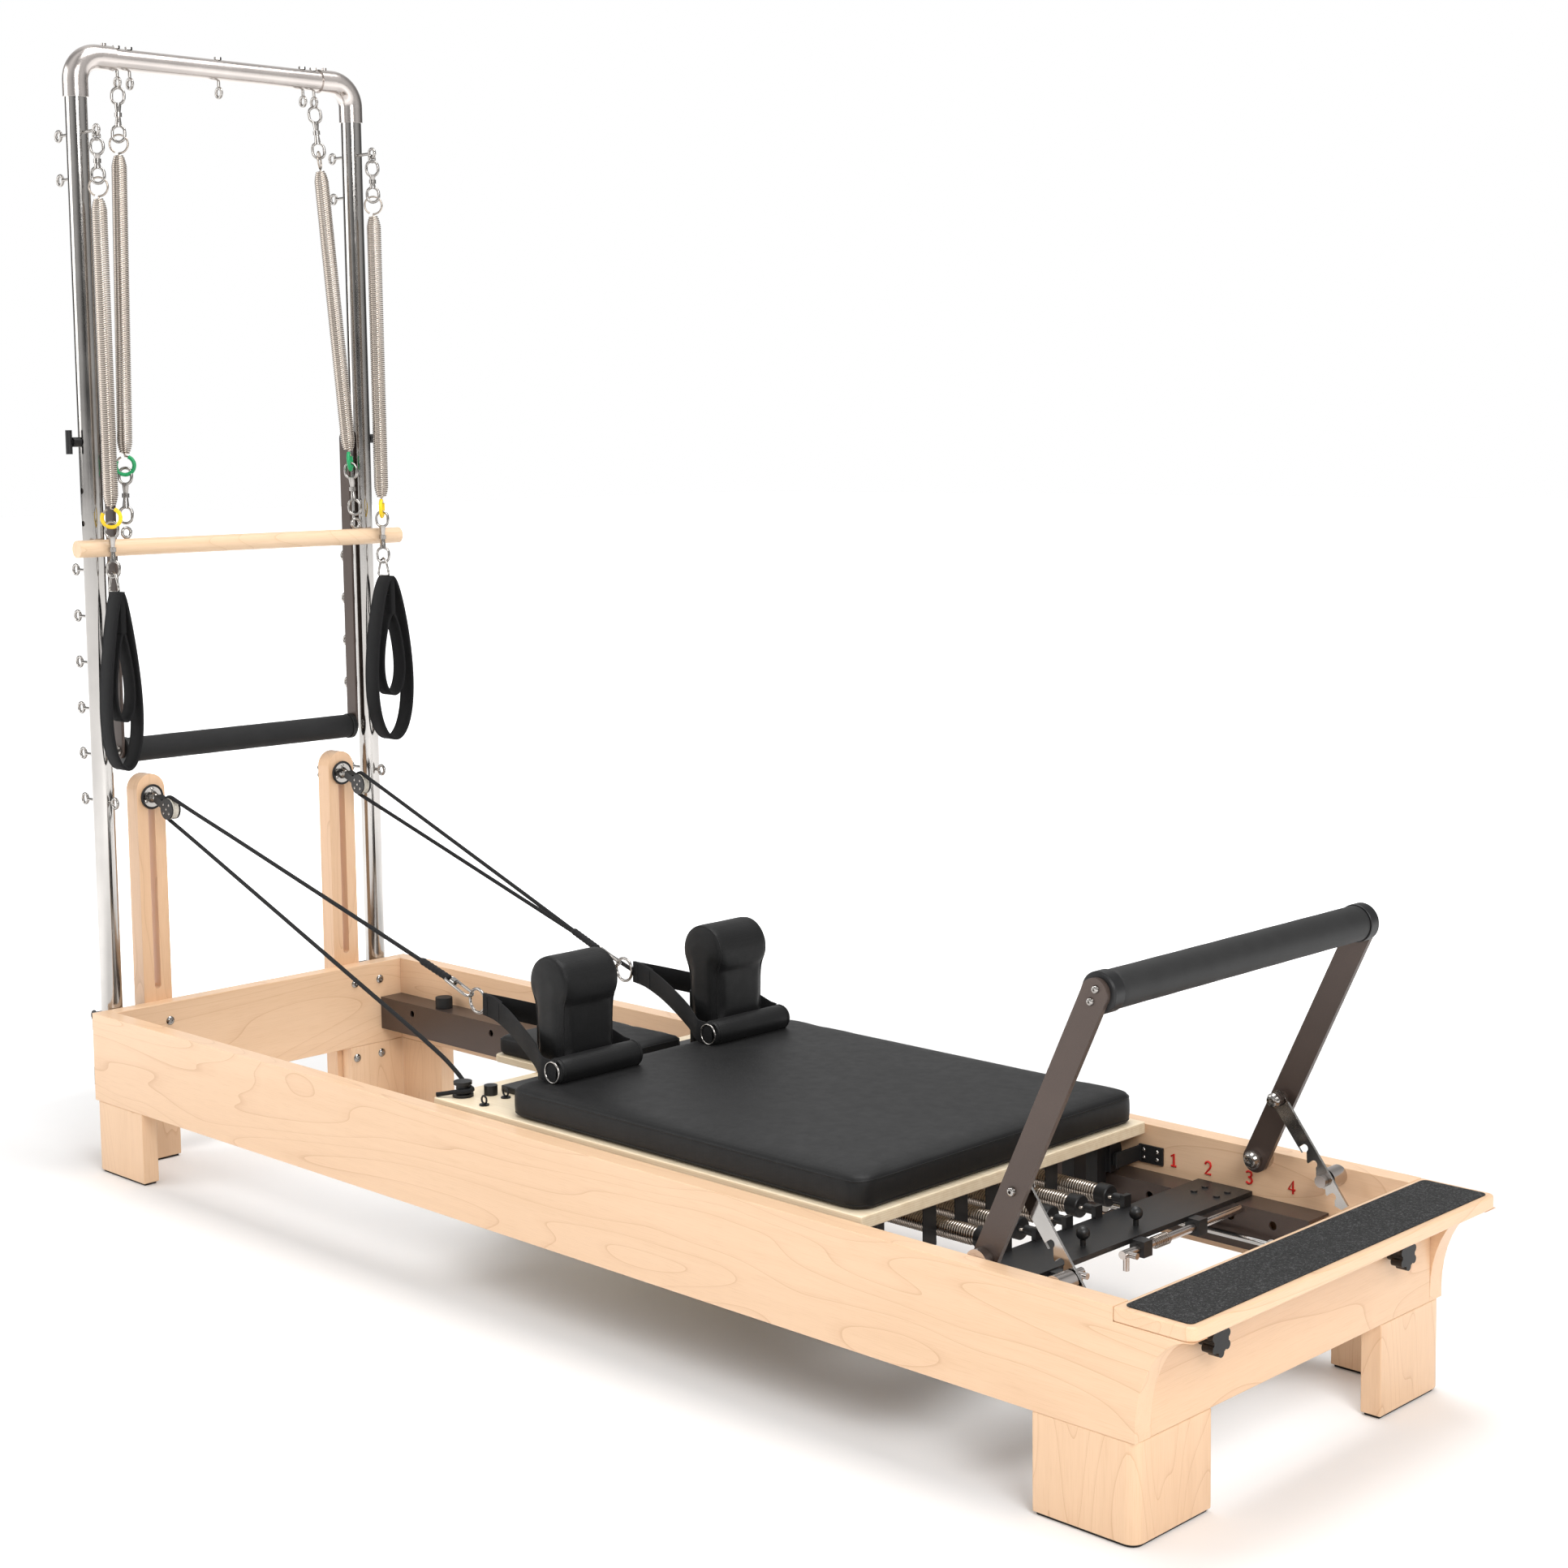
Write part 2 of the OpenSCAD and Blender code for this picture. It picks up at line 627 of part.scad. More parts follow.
module arm_spring(s) {
    color(steel) side(s) translate([arm_spring_x, upright_y, 0]) {
        translate([0, 0, arm_spring_z - 10.5]) rotate([90, 0, 90]) ring(7, 2);
        translate([0, 0, 1820]) cylinder(r = 4, h = 82);
        translate([0, 0, 1797]) cylinder(r1 = spring_r, r2 = 6, h = 26);
        difference() {
            translate([0, 0, 1243]) cylinder(r = spring_r, h = 555);
            translate([0, 0, 1245]) cylinder(r = spring_r - spring_wall, h = 551);
        }
        translate([0, 0, 1200]) cylinder(r1 = 5, r2 = spring_r, h = 44);
        translate([0, 0, 1115]) cylinder(r = 4, h = 86);
        translate([0, 0, 1104]) rotate([90, 0, 90]) ring(14, 2.5);
    }
}
loop_z = [755, 1087];
function egg(w, lean, h, z) = [for (t = [0:10:350]) [(w - lean * sin(t)) * cos(t), z + h * sin(t)]];
module hand_loop(s, w) {
    h = loop_z[1] - loop_z[0];
    color(black) side(s) translate([arm_spring_x - 10, upright_y, loop_z[0] + h / 2])
        rotate([90, 0, 90]) linear_extrude(40) {
            difference() {
                polygon(egg(w, 14, h / 2, 0));
                polygon(egg(w - 6, 14, h / 2 - 6, 0));
            }
            difference() {
                polygon(egg(0.6 * w, 8, 84, 8));
                polygon(egg(0.6 * w - 5, 8, 79, 8));
            }
            translate([-5, 86]) square([10, h / 2 - 87]);
        }
}

place() side_rails();
place() head_end_rail();
place() foot_end_rail();
place() legs();
place() foot_pads();
place() standing_platform();
place() platform_grip();
place() platform_knob(-1);  // platform_knob_near
place() platform_knob(1);  // platform_knob_far
place() tracks();
place() frame_bolts();
place() track_stops();
place() guide_rods();
place() footbar_pivots();
place() tower_uprights();
place() tower_elbows();
place() top_tube();
place() tower_eyebolts();
place() tower_brackets();
place() riser_posts();
place() tee_pins();
place() pulley_carrier(-1);  // pulley_carrier_near
place() pulley_carrier(1);  // pulley_carrier_far
place() riser_knob(-1);  // riser_knob_near
place() riser_knob(1);  // riser_knob_far
place() pulley_block(-1);  // pulley_block_near
place() pulley_block(1);  // pulley_block_far
place() sheave(-1);  // sheave_near
place() sheave(1);  // sheave_far
place() carriage_deck();
place() carriage_pad();
place() roller_blocks();
place() wheel_pair(wheel_x[0]);  // wheels_head
place() wheel_pair(wheel_x[1]);  // wheels_foot
place() headrest_board();
place() headrest_pad();
place() shoulder_rest(-1);  // shoulder_rest_near
place() shoulder_rest(1);  // shoulder_rest_far
place() shoulder_plates();
place() cleats();
place() strap_hardware();
place() grip_rolls();
place() straps();
place() carriage_springs();
place() spring_bar();
place() latch(-1, -100, -112);  // latch_near
place() latch(1, -10, 0);  // latch_far
place() footbar_arms();
place() footbar_roller();
place() strut(-1);  // strut_near
place() strut(1);  // strut_far
place() push_bar_arms();
place() push_bar_roller();
place() roll_bar();
place() roll_springs();
place() arm_spring(-1);  // arm_spring_near
place() arm_spring(1);  // arm_spring_far
place() hand_loop(-1, 32);  // hand_loop_near
place() hand_loop(1, 44);  // hand_loop_far
place() ropes();
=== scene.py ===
import json
import math

import bmesh
import bpy
import numpy as np
from mathutils import Matrix, Vector


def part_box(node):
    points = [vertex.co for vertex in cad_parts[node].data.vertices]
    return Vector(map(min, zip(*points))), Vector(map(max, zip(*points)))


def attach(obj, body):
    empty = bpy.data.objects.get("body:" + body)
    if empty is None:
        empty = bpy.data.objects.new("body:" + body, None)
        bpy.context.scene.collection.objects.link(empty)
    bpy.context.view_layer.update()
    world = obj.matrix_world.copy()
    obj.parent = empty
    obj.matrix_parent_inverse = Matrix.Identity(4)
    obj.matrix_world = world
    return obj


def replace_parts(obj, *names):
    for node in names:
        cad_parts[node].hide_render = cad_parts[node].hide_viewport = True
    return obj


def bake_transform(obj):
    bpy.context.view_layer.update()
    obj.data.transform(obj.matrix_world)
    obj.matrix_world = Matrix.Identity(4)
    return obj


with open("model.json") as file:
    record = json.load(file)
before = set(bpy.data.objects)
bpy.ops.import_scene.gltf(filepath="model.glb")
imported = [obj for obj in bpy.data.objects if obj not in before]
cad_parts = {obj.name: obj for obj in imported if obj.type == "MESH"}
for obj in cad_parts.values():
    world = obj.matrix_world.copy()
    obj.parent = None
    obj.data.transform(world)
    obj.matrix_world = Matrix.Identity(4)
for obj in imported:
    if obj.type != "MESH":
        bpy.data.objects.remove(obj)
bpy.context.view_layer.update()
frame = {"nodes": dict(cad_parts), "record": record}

X0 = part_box("head_end_rail")[0].x
PI = math.pi


def P(x, y, z):
    """Millimetres from the head face, the middle plane and the floor, to metres in the row frame."""
    return Vector((X0 + x / 1000, y / 1000, z / 1000))


# ------------------------ materials

def tree(name, colour, rough, metal=0.0, coat=0.0, coat_rough=0.1, sheen=0.0, spec=0.5):
    m = bpy.data.materials.new(name)
    m.use_nodes = True
    n = m.node_tree.nodes
    b = n["Principled BSDF"]
    b.inputs["Base Color"].default_value = (*colour, 1)
    b.inputs["Roughness"].default_value = rough
    b.inputs["Metallic"].default_value = metal
    b.inputs["Coat Weight"].default_value = coat
    b.inputs["Coat Roughness"].default_value = coat_rough
    b.inputs["Sheen Weight"].default_value = sheen
    b.inputs["Specular IOR Level"].default_value = spec
    m.diffuse_color = (*colour, 1)
    return m, n, m.node_tree.links, b


def coords(n, l, scale=(1, 1, 1), uv=False, rot=(0, 0, 0), loc=(0, 0, 0)):
    c = n.new("ShaderNodeTexCoord")
    m = n.new("ShaderNodeMapping")
    m.inputs["Scale"].default_value = scale
    m.inputs["Rotation"].default_value = rot
    m.inputs["Location"].default_value = loc
    l.new(c.outputs["UV" if uv else "Object"], m.inputs["Vector"])
    return m.outputs["Vector"]


def noise(n, l, vec, scale=1.0, detail=4.0, rough=0.5, distortion=0.0):
    t = n.new("ShaderNodeTexNoise")
    t.inputs["Scale"].default_value = scale
    t.inputs["Detail"].default_value = detail
    t.inputs["Roughness"].default_value = rough
    t.inputs["Distortion"].default_value = distortion
    l.new(vec, t.inputs["Vector"])
    return t.outputs["Fac"]


def wave(n, l, vec, scale=1.0, distortion=0.0, detail=0.0, direction="X", dscale=1.0):
    t = n.new("ShaderNodeTexWave")
    t.wave_type = "BANDS"
    t.bands_direction = direction
    t.inputs["Scale"].default_value = scale
    t.inputs["Distortion"].default_value = distortion
    t.inputs["Detail"].default_value = detail
    t.inputs["Detail Scale"].default_value = dscale
    l.new(vec, t.inputs["Vector"])
    return t.outputs["Fac"]


def ramp(n, l, fac, stops):
    r = n.new("ShaderNodeValToRGB")
    e = r.color_ramp.elements
    while len(e) < len(stops):
        e.new(0.5)
    for i, (p, c) in enumerate(stops):
        e[i].position = p
        e[i].color = (*c, 1)
    l.new(fac, r.inputs["Fac"])
    return r.outputs["Color"]


def mix(n, l, a, b, fac=0.5, mode="MIX"):
    m = n.new("ShaderNodeMix")
    m.data_type = "RGBA"
    m.blend_type = mode
    for i, v in (("A", a), ("B", b)):
        s = [x for x in m.inputs if x.name == i and x.type == "RGBA"][0]
        if hasattr(v, "is_linked"):
            l.new(v, s)
        else:
            s.default_value = (*v, 1)
    f = [x for x in m.inputs if x.name == "Factor" and x.type == "VALUE"][0]
    if hasattr(fac, "is_linked"):
        l.new(fac, f)
    else:
        f.default_value = fac
    return [x for x in m.outputs if x.type == "RGBA"][0]


def maths(n, l, op, a, b=0.0, clamp=False):
    m = n.new("ShaderNodeMath")
    m.operation = op
    m.use_clamp = clamp
    for i, v in ((0, a), (1, b)):
        if hasattr(v, "is_linked"):
            l.new(v, m.inputs[i])
        else:
            m.inputs[i].default_value = v
    return m.outputs[0]


def bump(n, l, b, height, strength=0.3, distance=0.001, after=None):
    k = n.new("ShaderNodeBump")
    k.inputs["Strength"].default_value = strength
    k.inputs["Distance"].default_value = distance
    l.new(height, k.inputs["Height"])
    if after is not None:
        l.new(after, k.inputs["Normal"])
    l.new(k.outputs["Normal"], b.inputs["Normal"])
    return k.outputs["Normal"]


def rough_from(n, l, b, fac, low, high):
    r = n.new("ShaderNodeMapRange")
    r.inputs["To Min"].default_value = low
    r.inputs["To Max"].default_value = high
    l.new(fac, r.inputs["Value"])
    l.new(r.outputs["Result"], b.inputs["Roughness"])


def shade(colour, factor):
    return tuple(min(1, c * factor) for c in colour)


def stretched(axis, across, along):
    """A texture scale that is drawn out along one axis."""
    return [along if a == axis else across for a in "XYZ"]


def wood(name, axis, light, dark, seed, rings=5.0):
    """Sawn board whose grain runs along axis, with fine arched lines, pores and a satin lacquer."""
    figure, faint = 0.55, 0.22
    m, n, l, b = tree(name, light, 0.38, coat=0.35, coat_rough=0.25, spec=0.4)
    v = coords(n, l, stretched(axis, 6.0, 1.1), loc=(seed, seed * 1.7, seed * 0.6))
    lines = maths(n, l, "FRACT", maths(n, l, "MULTIPLY", noise(n, l, v, 1.0, 1.5, 0.4, 0.5), rings * 3.0))
    v = coords(n, l, stretched(axis, 42.0, 1.6), loc=(seed, 0, seed))
    streak = noise(n, l, v, 1.0, 5.0, 0.6, 0.3)
    pore = noise(n, l, coords(n, l, stretched(axis, 900.0, 22.0)), 1.0, 2.0, 0.5)
    broad = noise(n, l, coords(n, l, (1.6, 1.6, 1.6), loc=(seed, 3, 1)), 1.0, 2.0)
    near = tuple(a + (c - a) * figure for a, c in zip(light, dark))
    soft = tuple(a + (c - a) * faint for a, c in zip(light, near))
    base = ramp(n, l, lines, [(0.0, near), (0.05, soft), (0.22, light), (1.0, light)])
    c = mix(n, l, base, ramp(n, l, streak, [(0.3, (0.93, 0.90, 0.86)), (0.62, (1, 1, 1))]), 0.6, "MULTIPLY")
    c = mix(n, l, c, ramp(n, l, pore, [(0.32, (0.88, 0.83, 0.78)), (0.5, (1, 1, 1))]), 0.4, "MULTIPLY")
    c = mix(n, l, c, ramp(n, l, broad, [(0.3, (0.94, 0.91, 0.87)), (0.7, (1.0, 1.0, 1.0))]), 0.8, "MULTIPLY")
    l.new(c, b.inputs["Base Color"])
    rough_from(n, l, b, streak, 0.32, 0.46)
    bump(n, l, b, pore, 0.10, 0.0003)
    return m


MAPLE_L, MAPLE_D = (0.83, 0.575, 0.375), (0.60, 0.34, 0.18)
MAPLE_X = wood("maple_along", "X", MAPLE_L, MAPLE_D, seed=1.3)
MAPLE_Y = wood("maple_across", "Y", MAPLE_L, MAPLE_D, seed=4.1)
MAPLE_Z = wood("maple_upright", "Z", MAPLE_L, MAPLE_D, seed=7.7, rings=7)
BEECH = wood("beech_dowel", "Y", (0.76, 0.56, 0.38), (0.58, 0.38, 0.22), seed=2.2, rings=9)
POST = wood("beech_post", "Z", (0.76, 0.50, 0.31), (0.55, 0.32, 0.18), seed=5.5, rings=7)


def make_ply():
    m, n, l, b = tree("birch_ply", (0.82, 0.68, 0.47), 0.45, coat=0.2, coat_rough=0.3)
    v = coords(n, l, (0, 0, 620.0))
    layer = wave(n, l, v, scale=0.16, direction="Z")
    grain = noise(n, l, coords(n, l, (3, 60, 60)), 1.0, 4.0, 0.6, 0.4)
    c = mix(n, l,
            ramp(n, l, layer, [(0.2, (0.84, 0.70, 0.49)), (0.5, (0.90, 0.77, 0.57))]),
            ramp(n, l, grain, [(0.3, (0.82, 0.75, 0.66)), (0.65, (1, 1, 1))]), 0.6, "MULTIPLY")
    l.new(c, b.inputs["Base Color"])
    rough_from(n, l, b, grain, 0.38, 0.55)
    bump(n, l, b, grain, 0.08, 0.0003)
    return m


def powder(name, colour, rough, metal=0.25):
    m, n, l, b = tree(name, colour, rough, metal=metal, coat=0.15, coat_rough=0.35)
    fine = noise(n, l, coords(n, l), 900.0, 3.0, 0.6)
    broad = noise(n, l, coords(n, l), 9.0, 3.0, 0.5)
    c = ramp(n, l, broad, [(0.3, shade(colour, 0.86)), (0.7, colour)])
    grain = ramp(n, l, fine, [(0.3, (0.86, 0.86, 0.86)), (0.7, (1.08, 1.07, 1.06))])
    c = mix(n, l, c, grain, 0.6, "MULTIPLY")
    l.new(c, b.inputs["Base Color"])
    rough_from(n, l, b, fine, rough - 0.06, rough + 0.08)
    bump(n, l, b, fine, 0.16, 0.0003)
    return m


def metal(name, colour, rough, axis="Z", brushed=0.5):
    m, n, l, b = tree(name, colour, rough, metal=1.0)
    lines = noise(n, l, coords(n, l, stretched(axis, 500.0, 9.0)), 1.0, 3.0, 0.6)
    cloud = noise(n, l, coords(n, l, (14, 14, 14)), 1.0, 4.0, 0.55)
    rough_from(n, l, b, mix(n, l, lines, cloud, 0.5), max(0.04, rough - 0.06), rough + 0.10)
    l.new(ramp(n, l, cloud, [(0.35, shade(colour, 0.9)), (0.65, colour)]), b.inputs["Base Color"])
    bump(n, l, b, lines, 0.05 * brushed, 0.0002)
    return m


def linen_vinyl(name, colour, rough):
    """Upholstery vinyl with a fine embossed linen, from object coordinates, so it needs no UVs."""
    m, n, l, b = tree(name, colour, rough, coat=0.0, sheen=0.02, spec=0.26)
    wob = noise(n, l, coords(n, l), 60.0, 2.0)
    cell = 0.0011
    k = 1.0 / cell * 0.05
    hs = [wave(n, l, coords(n, l), k * 3.14, distortion=0.6, detail=1.0, direction=d, dscale=4.0)
          for d in "XYZ"]
    h = maths(n, l, "ADD", maths(n, l, "ADD", hs[0], hs[1]), hs[2])
    h = maths(n, l, "MULTIPLY", h, 0.33)
    creases = noise(n, l, coords(n, l), 18.0, 5.0, 0.62, 0.6)
    # the crease and linen relief also sets the colour: darker in their hollows and lighter on their crests,
    # painted shade and highlight following the bumps
    c = mix(n, l, ramp(n, l, creases, [(0.3, shade(colour, 0.72)), (0.7, shade(colour, 1.25))]),
            ramp(n, l, h, [(0.2, (0.75, 0.75, 0.75)), (0.7, (1.15, 1.15, 1.15))]), 0.7, "MULTIPLY")
    l.new(c, b.inputs["Base Color"])
    rough_from(n, l, b, wob, rough - 0.07, rough + 0.09)
    first = bump(n, l, b, creases, 0.10, 0.002)
    bump(n, l, b, h, 0.35, 0.00035, after=first)
    return m


def rubbery(name, colour, rough, grain=700.0, depth=0.0004, strength=0.3, sheen=0.0):
    m, n, l, b = tree(name, colour, rough, sheen=sheen, spec=0.4)
    fine = noise(n, l, coords(n, l), grain, 3.0, 0.65)
    broad = noise(n, l, coords(n, l), 22.0, 4.0, 0.6)
    c = mix(n, l, ramp(n, l, broad, [(0.3, shade(colour, 0.8)), (0.7, shade(colour, 1.15))]),
            ramp(n, l, fine, [(0.3, (0.8, 0.8, 0.8)), (0.7, (1.15, 1.15, 1.15))]), 0.6, "MULTIPLY")
    l.new(c, b.inputs["Base Color"])
    rough_from(n, l, b, fine, rough - 0.08, min(1.0, rough + 0.1))
    bump(n, l, b, fine, strength, depth)
    return m


def woven(name, colour, cell=0.0016, angle=0.0):
    """Woven or braided yarn, from UVs laid in metres along and across the strap."""
    rough = 0.8
    m, n, l, b = tree(name, colour, rough, sheen=0.04, spec=0.2)
    k = 0.314 / cell
    a = wave(n, l, coords(n, l, uv=True, rot=(0, 0, angle)), scale=k, direction="X")
    c = wave(n, l, coords(n, l, uv=True, rot=(0, 0, -angle)), scale=k,
             direction="Y" if angle == 0 else "X")
    h = maths(n, l, "MULTIPLY", maths(n, l, "ADD", a, c), 0.5)
    fuzz = noise(n, l, coords(n, l), 1500.0, 2.0, 0.7)
    h2 = maths(n, l, "ADD", h, maths(n, l, "MULTIPLY", fuzz, 0.35))
    # the weave's relief also sets the colour: darker in its hollows and lighter on its crowns, painted shade
    # and highlight following the bump
    l.new(ramp(n, l, h2, [(0.25, shade(colour, 0.45)), (0.8, shade(colour, 1.35))]), b.inputs["Base Color"])
    rough_from(n, l, b, fuzz, rough - 0.1, rough + 0.1)
    bump(n, l, b, h2, 0.6, 0.0006)
    return m


def gritty(name, dark, light):
    """Anti-slip sheet: dark grains of uneven size, a few of them catching the light."""
    m, n, l, b = tree(name, dark, 0.7, spec=0.35)
    v = coords(n, l)
    big = noise(n, l, v, 330.0, 3.0, 0.7)
    fine = noise(n, l, v, 1500.0, 2.0, 0.6)
    both = maths(n, l, "MULTIPLY", maths(n, l, "ADD", big, fine), 0.5)
    stops = [(0.44, dark), (0.54, shade(dark, 2.4)), (0.62, light)]
    l.new(ramp(n, l, both, stops), b.inputs["Base Color"])
    bump(n, l, b, both, 1.0, 0.003)
    return m


PLY = make_ply()
BRONZE = powder("bronze_powder_coat", (0.082, 0.058, 0.048), 0.36, metal=0.45)
BLACK_COAT = powder("black_powder_coat", (0.007, 0.007, 0.0075), 0.42, metal=0.1)
CHROME = metal("polished_steel", (0.46, 0.44, 0.42), 0.10)
CHROME_Y = metal("polished_steel_cross", (0.60, 0.55, 0.52), 0.20, axis="Y")
CHROME_X = metal("polished_steel_rods", (0.78, 0.77, 0.75), 0.15, axis="X")
NICKEL = metal("nickel_spring_wire", (0.44, 0.385, 0.335), 0.22, brushed=0.2)
STEEL = metal("satin_steel", (0.38, 0.36, 0.34), 0.16, brushed=0.6)
VINYL = linen_vinyl("black_linen_vinyl", (0.0050, 0.0050, 0.0052), 0.5)
VINYL_SIDE = linen_vinyl("black_band_vinyl", (0.0042, 0.0042, 0.0044), 0.5)
FOAM = rubbery("grey_foam", (0.0135, 0.0135, 0.0135), 0.6, 1200.0, 0.0003, 0.3)
FOAM_BLACK = rubbery("black_foam", (0.009, 0.009, 0.0095), 0.75, 900.0, 0.0005, 0.4, sheen=0.03)
RUBBER = rubbery("black_rubber", (0.009, 0.009, 0.009), 0.62)
GRIT = gritty("anti_slip_grit", (0.010, 0.010, 0.010), (0.16, 0.16, 0.16))
PLASTIC = rubbery("black_nylon", (0.006, 0.006, 0.0065), 0.42, 500.0, 0.0002, 0.2)
PALE = rubbery("natural_nylon", (0.62, 0.58, 0.50), 0.42, 500.0, 0.0002, 0.15)
GREEN = rubbery("green_sleeve", (0.01, 0.30, 0.10), 0.40, 600.0, 0.0002, 0.2)
YELLOW = rubbery("yellow_sleeve", (0.85, 0.58, 0.01), 0.40, 600.0, 0.0002, 0.2)
RED = rubbery("red_paint", (0.60, 0.012, 0.008), 0.6, 900.0, 0.0002, 0.2)
WEBBING = woven("black_webbing", (0.0055, 0.0055, 0.006))
ROPE = woven("black_braided_rope", (0.012, 0.012, 0.0125), cell=0.0024, angle=PI / 4)
THREAD = woven("black_thread", (0.014, 0.014, 0.015), cell=0.0008, angle=PI / 4)


# ------------------------ mesh tools

SIDES = ((-1, "near"), (1, "far"))
ALONG, ACROSS, UP = (1, 0, 0), (0, 1, 0), (0, 0, 1)


def link(o):
    bpy.context.scene.collection.objects.link(o)
    return o


def smooth(o, angle):
    me = o.data
    me.polygons.foreach_set("use_smooth", [True] * len(me.polygons))
    me.set_sharp_from_angle(angle=math.radians(angle))
    me.update()


def piece(name, data, mat, body, angle):
    verts, faces, uvs = data
    me = bpy.data.meshes.new(name)
    me.from_pydata([tuple(map(float, v)) for v in verts], [], [tuple(f) for f in faces])
    if uvs is not None:
        layer = me.uv_layers.new(name="UVMap")
        layer.data.foreach_set("uv", [c for f in uvs for q in f for c in q])
    me.materials.append(mat)
    o = link(bpy.data.objects.new(name, me))
    smooth(o, angle)
    if isinstance(body, tuple):
        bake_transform(o)
    elif body:
        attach(o, body)
    return o


def side_vectors(w):
    """Two unit vectors square to w and to each other."""
    up = np.array((0, 0, 1.0)) if abs(w[2]) < 0.9 else np.array((1.0, 0, 0))
    e1 = np.cross(up, w)
    e1 /= np.linalg.norm(e1)
    return e1, np.cross(w, e1)


def skin(rings, n, closed=False):
    """Quads from each ring of n points to the next, with a cap at both ends of an open form."""
    quads = []
    for k in range(rings if closed else rings - 1):
        k2 = (k + 1) % rings
        quads += [(k * n + i, k * n + (i + 1) % n, k2 * n + (i + 1) % n, k2 * n + i) for i in range(n)]
    if closed:
        return quads
    return quads + [tuple(range(n - 1, -1, -1)), tuple((rings - 1) * n + i for i in range(n))]


def skin_uvs(spans, around, closed=False):
    """UVs for skin(): each strip's start and end along the form, and its n + 1 values around it."""
    uvs = [((u0, c[i]), (u0, c[i + 1]), (u1, c[i + 1]), (u1, c[i]))
           for (u0, u1), c in zip(spans, around) for i in range(len(c) - 1)]
    return uvs if closed else uvs + [((0.0, 0.0),) * (len(around[0]) - 1)] * 2


def sweep_rings(path, closed):
    """The points of a path, and a pair of side vectors that turn as little as they can along it."""
    p = np.array([tuple(v) for v in path], float)
    if closed:
        t = np.roll(p, -1, 0) - np.roll(p, 1, 0)
    else:
        t = np.gradient(p, axis=0)
    t /= np.linalg.norm(t, axis=1)[:, None]
    out = [side_vectors(t[0])[0]]
    for i in range(1, len(p)):
        a = out[-1] - t[i] * np.dot(out[-1], t[i])
        out.append(a / np.linalg.norm(a))
    out = np.array(out)
    return p, out, np.cross(t, out)


def tube_data(path, radius, n=10, closed=False, flat=1.0):
    """A tube along a path; flat squeezes it across, and radius may be a list."""
    p, a, b = sweep_rings(path, closed)
    r = np.full(len(p), radius) if np.isscalar(radius) else np.array(radius, float)
    ang = np.arange(n) * 2 * PI / n
    v = (p[:, None, :] + r[:, None, None] * (np.cos(ang)[None, :, None] * a[:, None, :]
         + flat * np.sin(ang)[None, :, None] * b[:, None, :])).reshape(-1, 3)
    starts = np.concatenate([[0], np.cumsum(np.linalg.norm(np.diff(p, axis=0), axis=1))])
    ends = list(starts[1:])
    if closed:
        ends.append(starts[-1] + np.linalg.norm(p[0] - p[-1]))
    around = [[i / n * 2 * PI * r[k] for i in range(n + 1)] for k in range(len(ends))]
    return v, skin(len(p), n, closed), skin_uvs(list(zip(starts, ends)), around, closed)


def merge(parts):
    verts, faces, uvs = [], [], []
    for v, f, u in parts:
        off = len(verts)
        verts.extend(map(tuple, v))
        faces.extend(tuple(i + off for i in q) for q in f)
        uvs.extend(u)
    return verts, faces, uvs


def tube(name, path, radius, mat, body, n=10, closed=False, flat=1.0):
    return piece(name, tube_data(path, radius, n, closed, flat), mat, body, 60)


def coil_data(a, b, big, wire, pitch, n=6, per=14, taper=0.0):
    """A helix between two points, drawn in over the taper's length at both ends."""
    a, b = np.array(a, float), np.array(b, float)
    axis = b - a
    length = np.linalg.norm(axis)
    axis /= length
    e1, e2 = side_vectors(axis)
    turns = length / pitch
    m = int(turns * per) + 1
    th = np.linspace(0, turns * 2 * PI, m)
    along = np.linspace(0, length, m)
    r = np.full(m, big)
    if taper:
        k = np.minimum(along, length - along) / taper
        r = big * (0.45 + 0.55 * np.clip(k, 0, 1) ** 0.5)
    rad = np.cos(th)[:, None] * e1 + np.sin(th)[:, None] * e2
    c = a + along[:, None] * axis + r[:, None] * rad
    ph = np.arange(n) * 2 * PI / n
    v = c[:, None, :] + wire * (np.cos(ph)[None, :, None] * rad[:, None, :]
                                + np.sin(ph)[None, :, None] * axis)
    faces = skin(m, n)
    uvs = [((0, 0), (0, 1), (1, 1), (1, 0))] * (len(faces) - 2) + [((0.0, 0.0),) * n] * 2
    return v.reshape(-1, 3), faces, uvs


def arc(c, r, e1, e2, a0, a1, steps):
    c, e1, e2 = Vector(c), Vector(e1), Vector(e2)
    return [c + r * (math.cos(a0 + (a1 - a0) * i / steps) * e1 + math.sin(a0 + (a1 - a0) * i / steps) * e2)
            for i in range(steps + 1)]


def hoop(name, centre, r, e1, wire, mat, body, n, steps=28, flat=1.0):
    """A round upright ring of wire, in the plane of e1 and the vertical."""
    return tube(name, arc(centre, r, e1, UP, 0, 2 * PI, steps)[:-1], wire, mat, body, n, True, flat)


def long_ring(a, b, r, side, steps=10):
    """A closed loop with straight sides from a to b, r in half width, in the plane of b - a and side."""
    a, b, s = Vector(a), Vector(b), Vector(side).normalized()
    d = (b - a).normalized()
    a2, b2 = a + d * r, b - d * r
    return arc(b2, r, s, d, 0, PI, steps) + arc(a2, r, -s, -d, 0, PI, steps)


def lathe_data(profile, a, axis, n):
    """Turns (distance along axis, radius) pairs about the line through a."""
    a, w = np.array(tuple(a), float), np.array(tuple(Vector(axis).normalized()), float)
    e1, e2 = side_vectors(w)
    v, spans, around = [], [], []
    for t, r in profile:
        for i in range(n):
            th = 2 * PI * i / n
            v.append(a + w * t + max(r, 1e-5) * (math.cos(th) * e1 + math.sin(th) * e2))
    s = 0.0
    for p, q in zip(profile, profile[1:]):
        step = 2 * PI * max(p[1], q[1]) / n
        spans.append((s, s + math.dist(p, q)))
        around.append([i * step for i in range(n + 1)])
        s = spans[-1][1]
    return v, skin(len(profile), n), skin_uvs(spans, around)


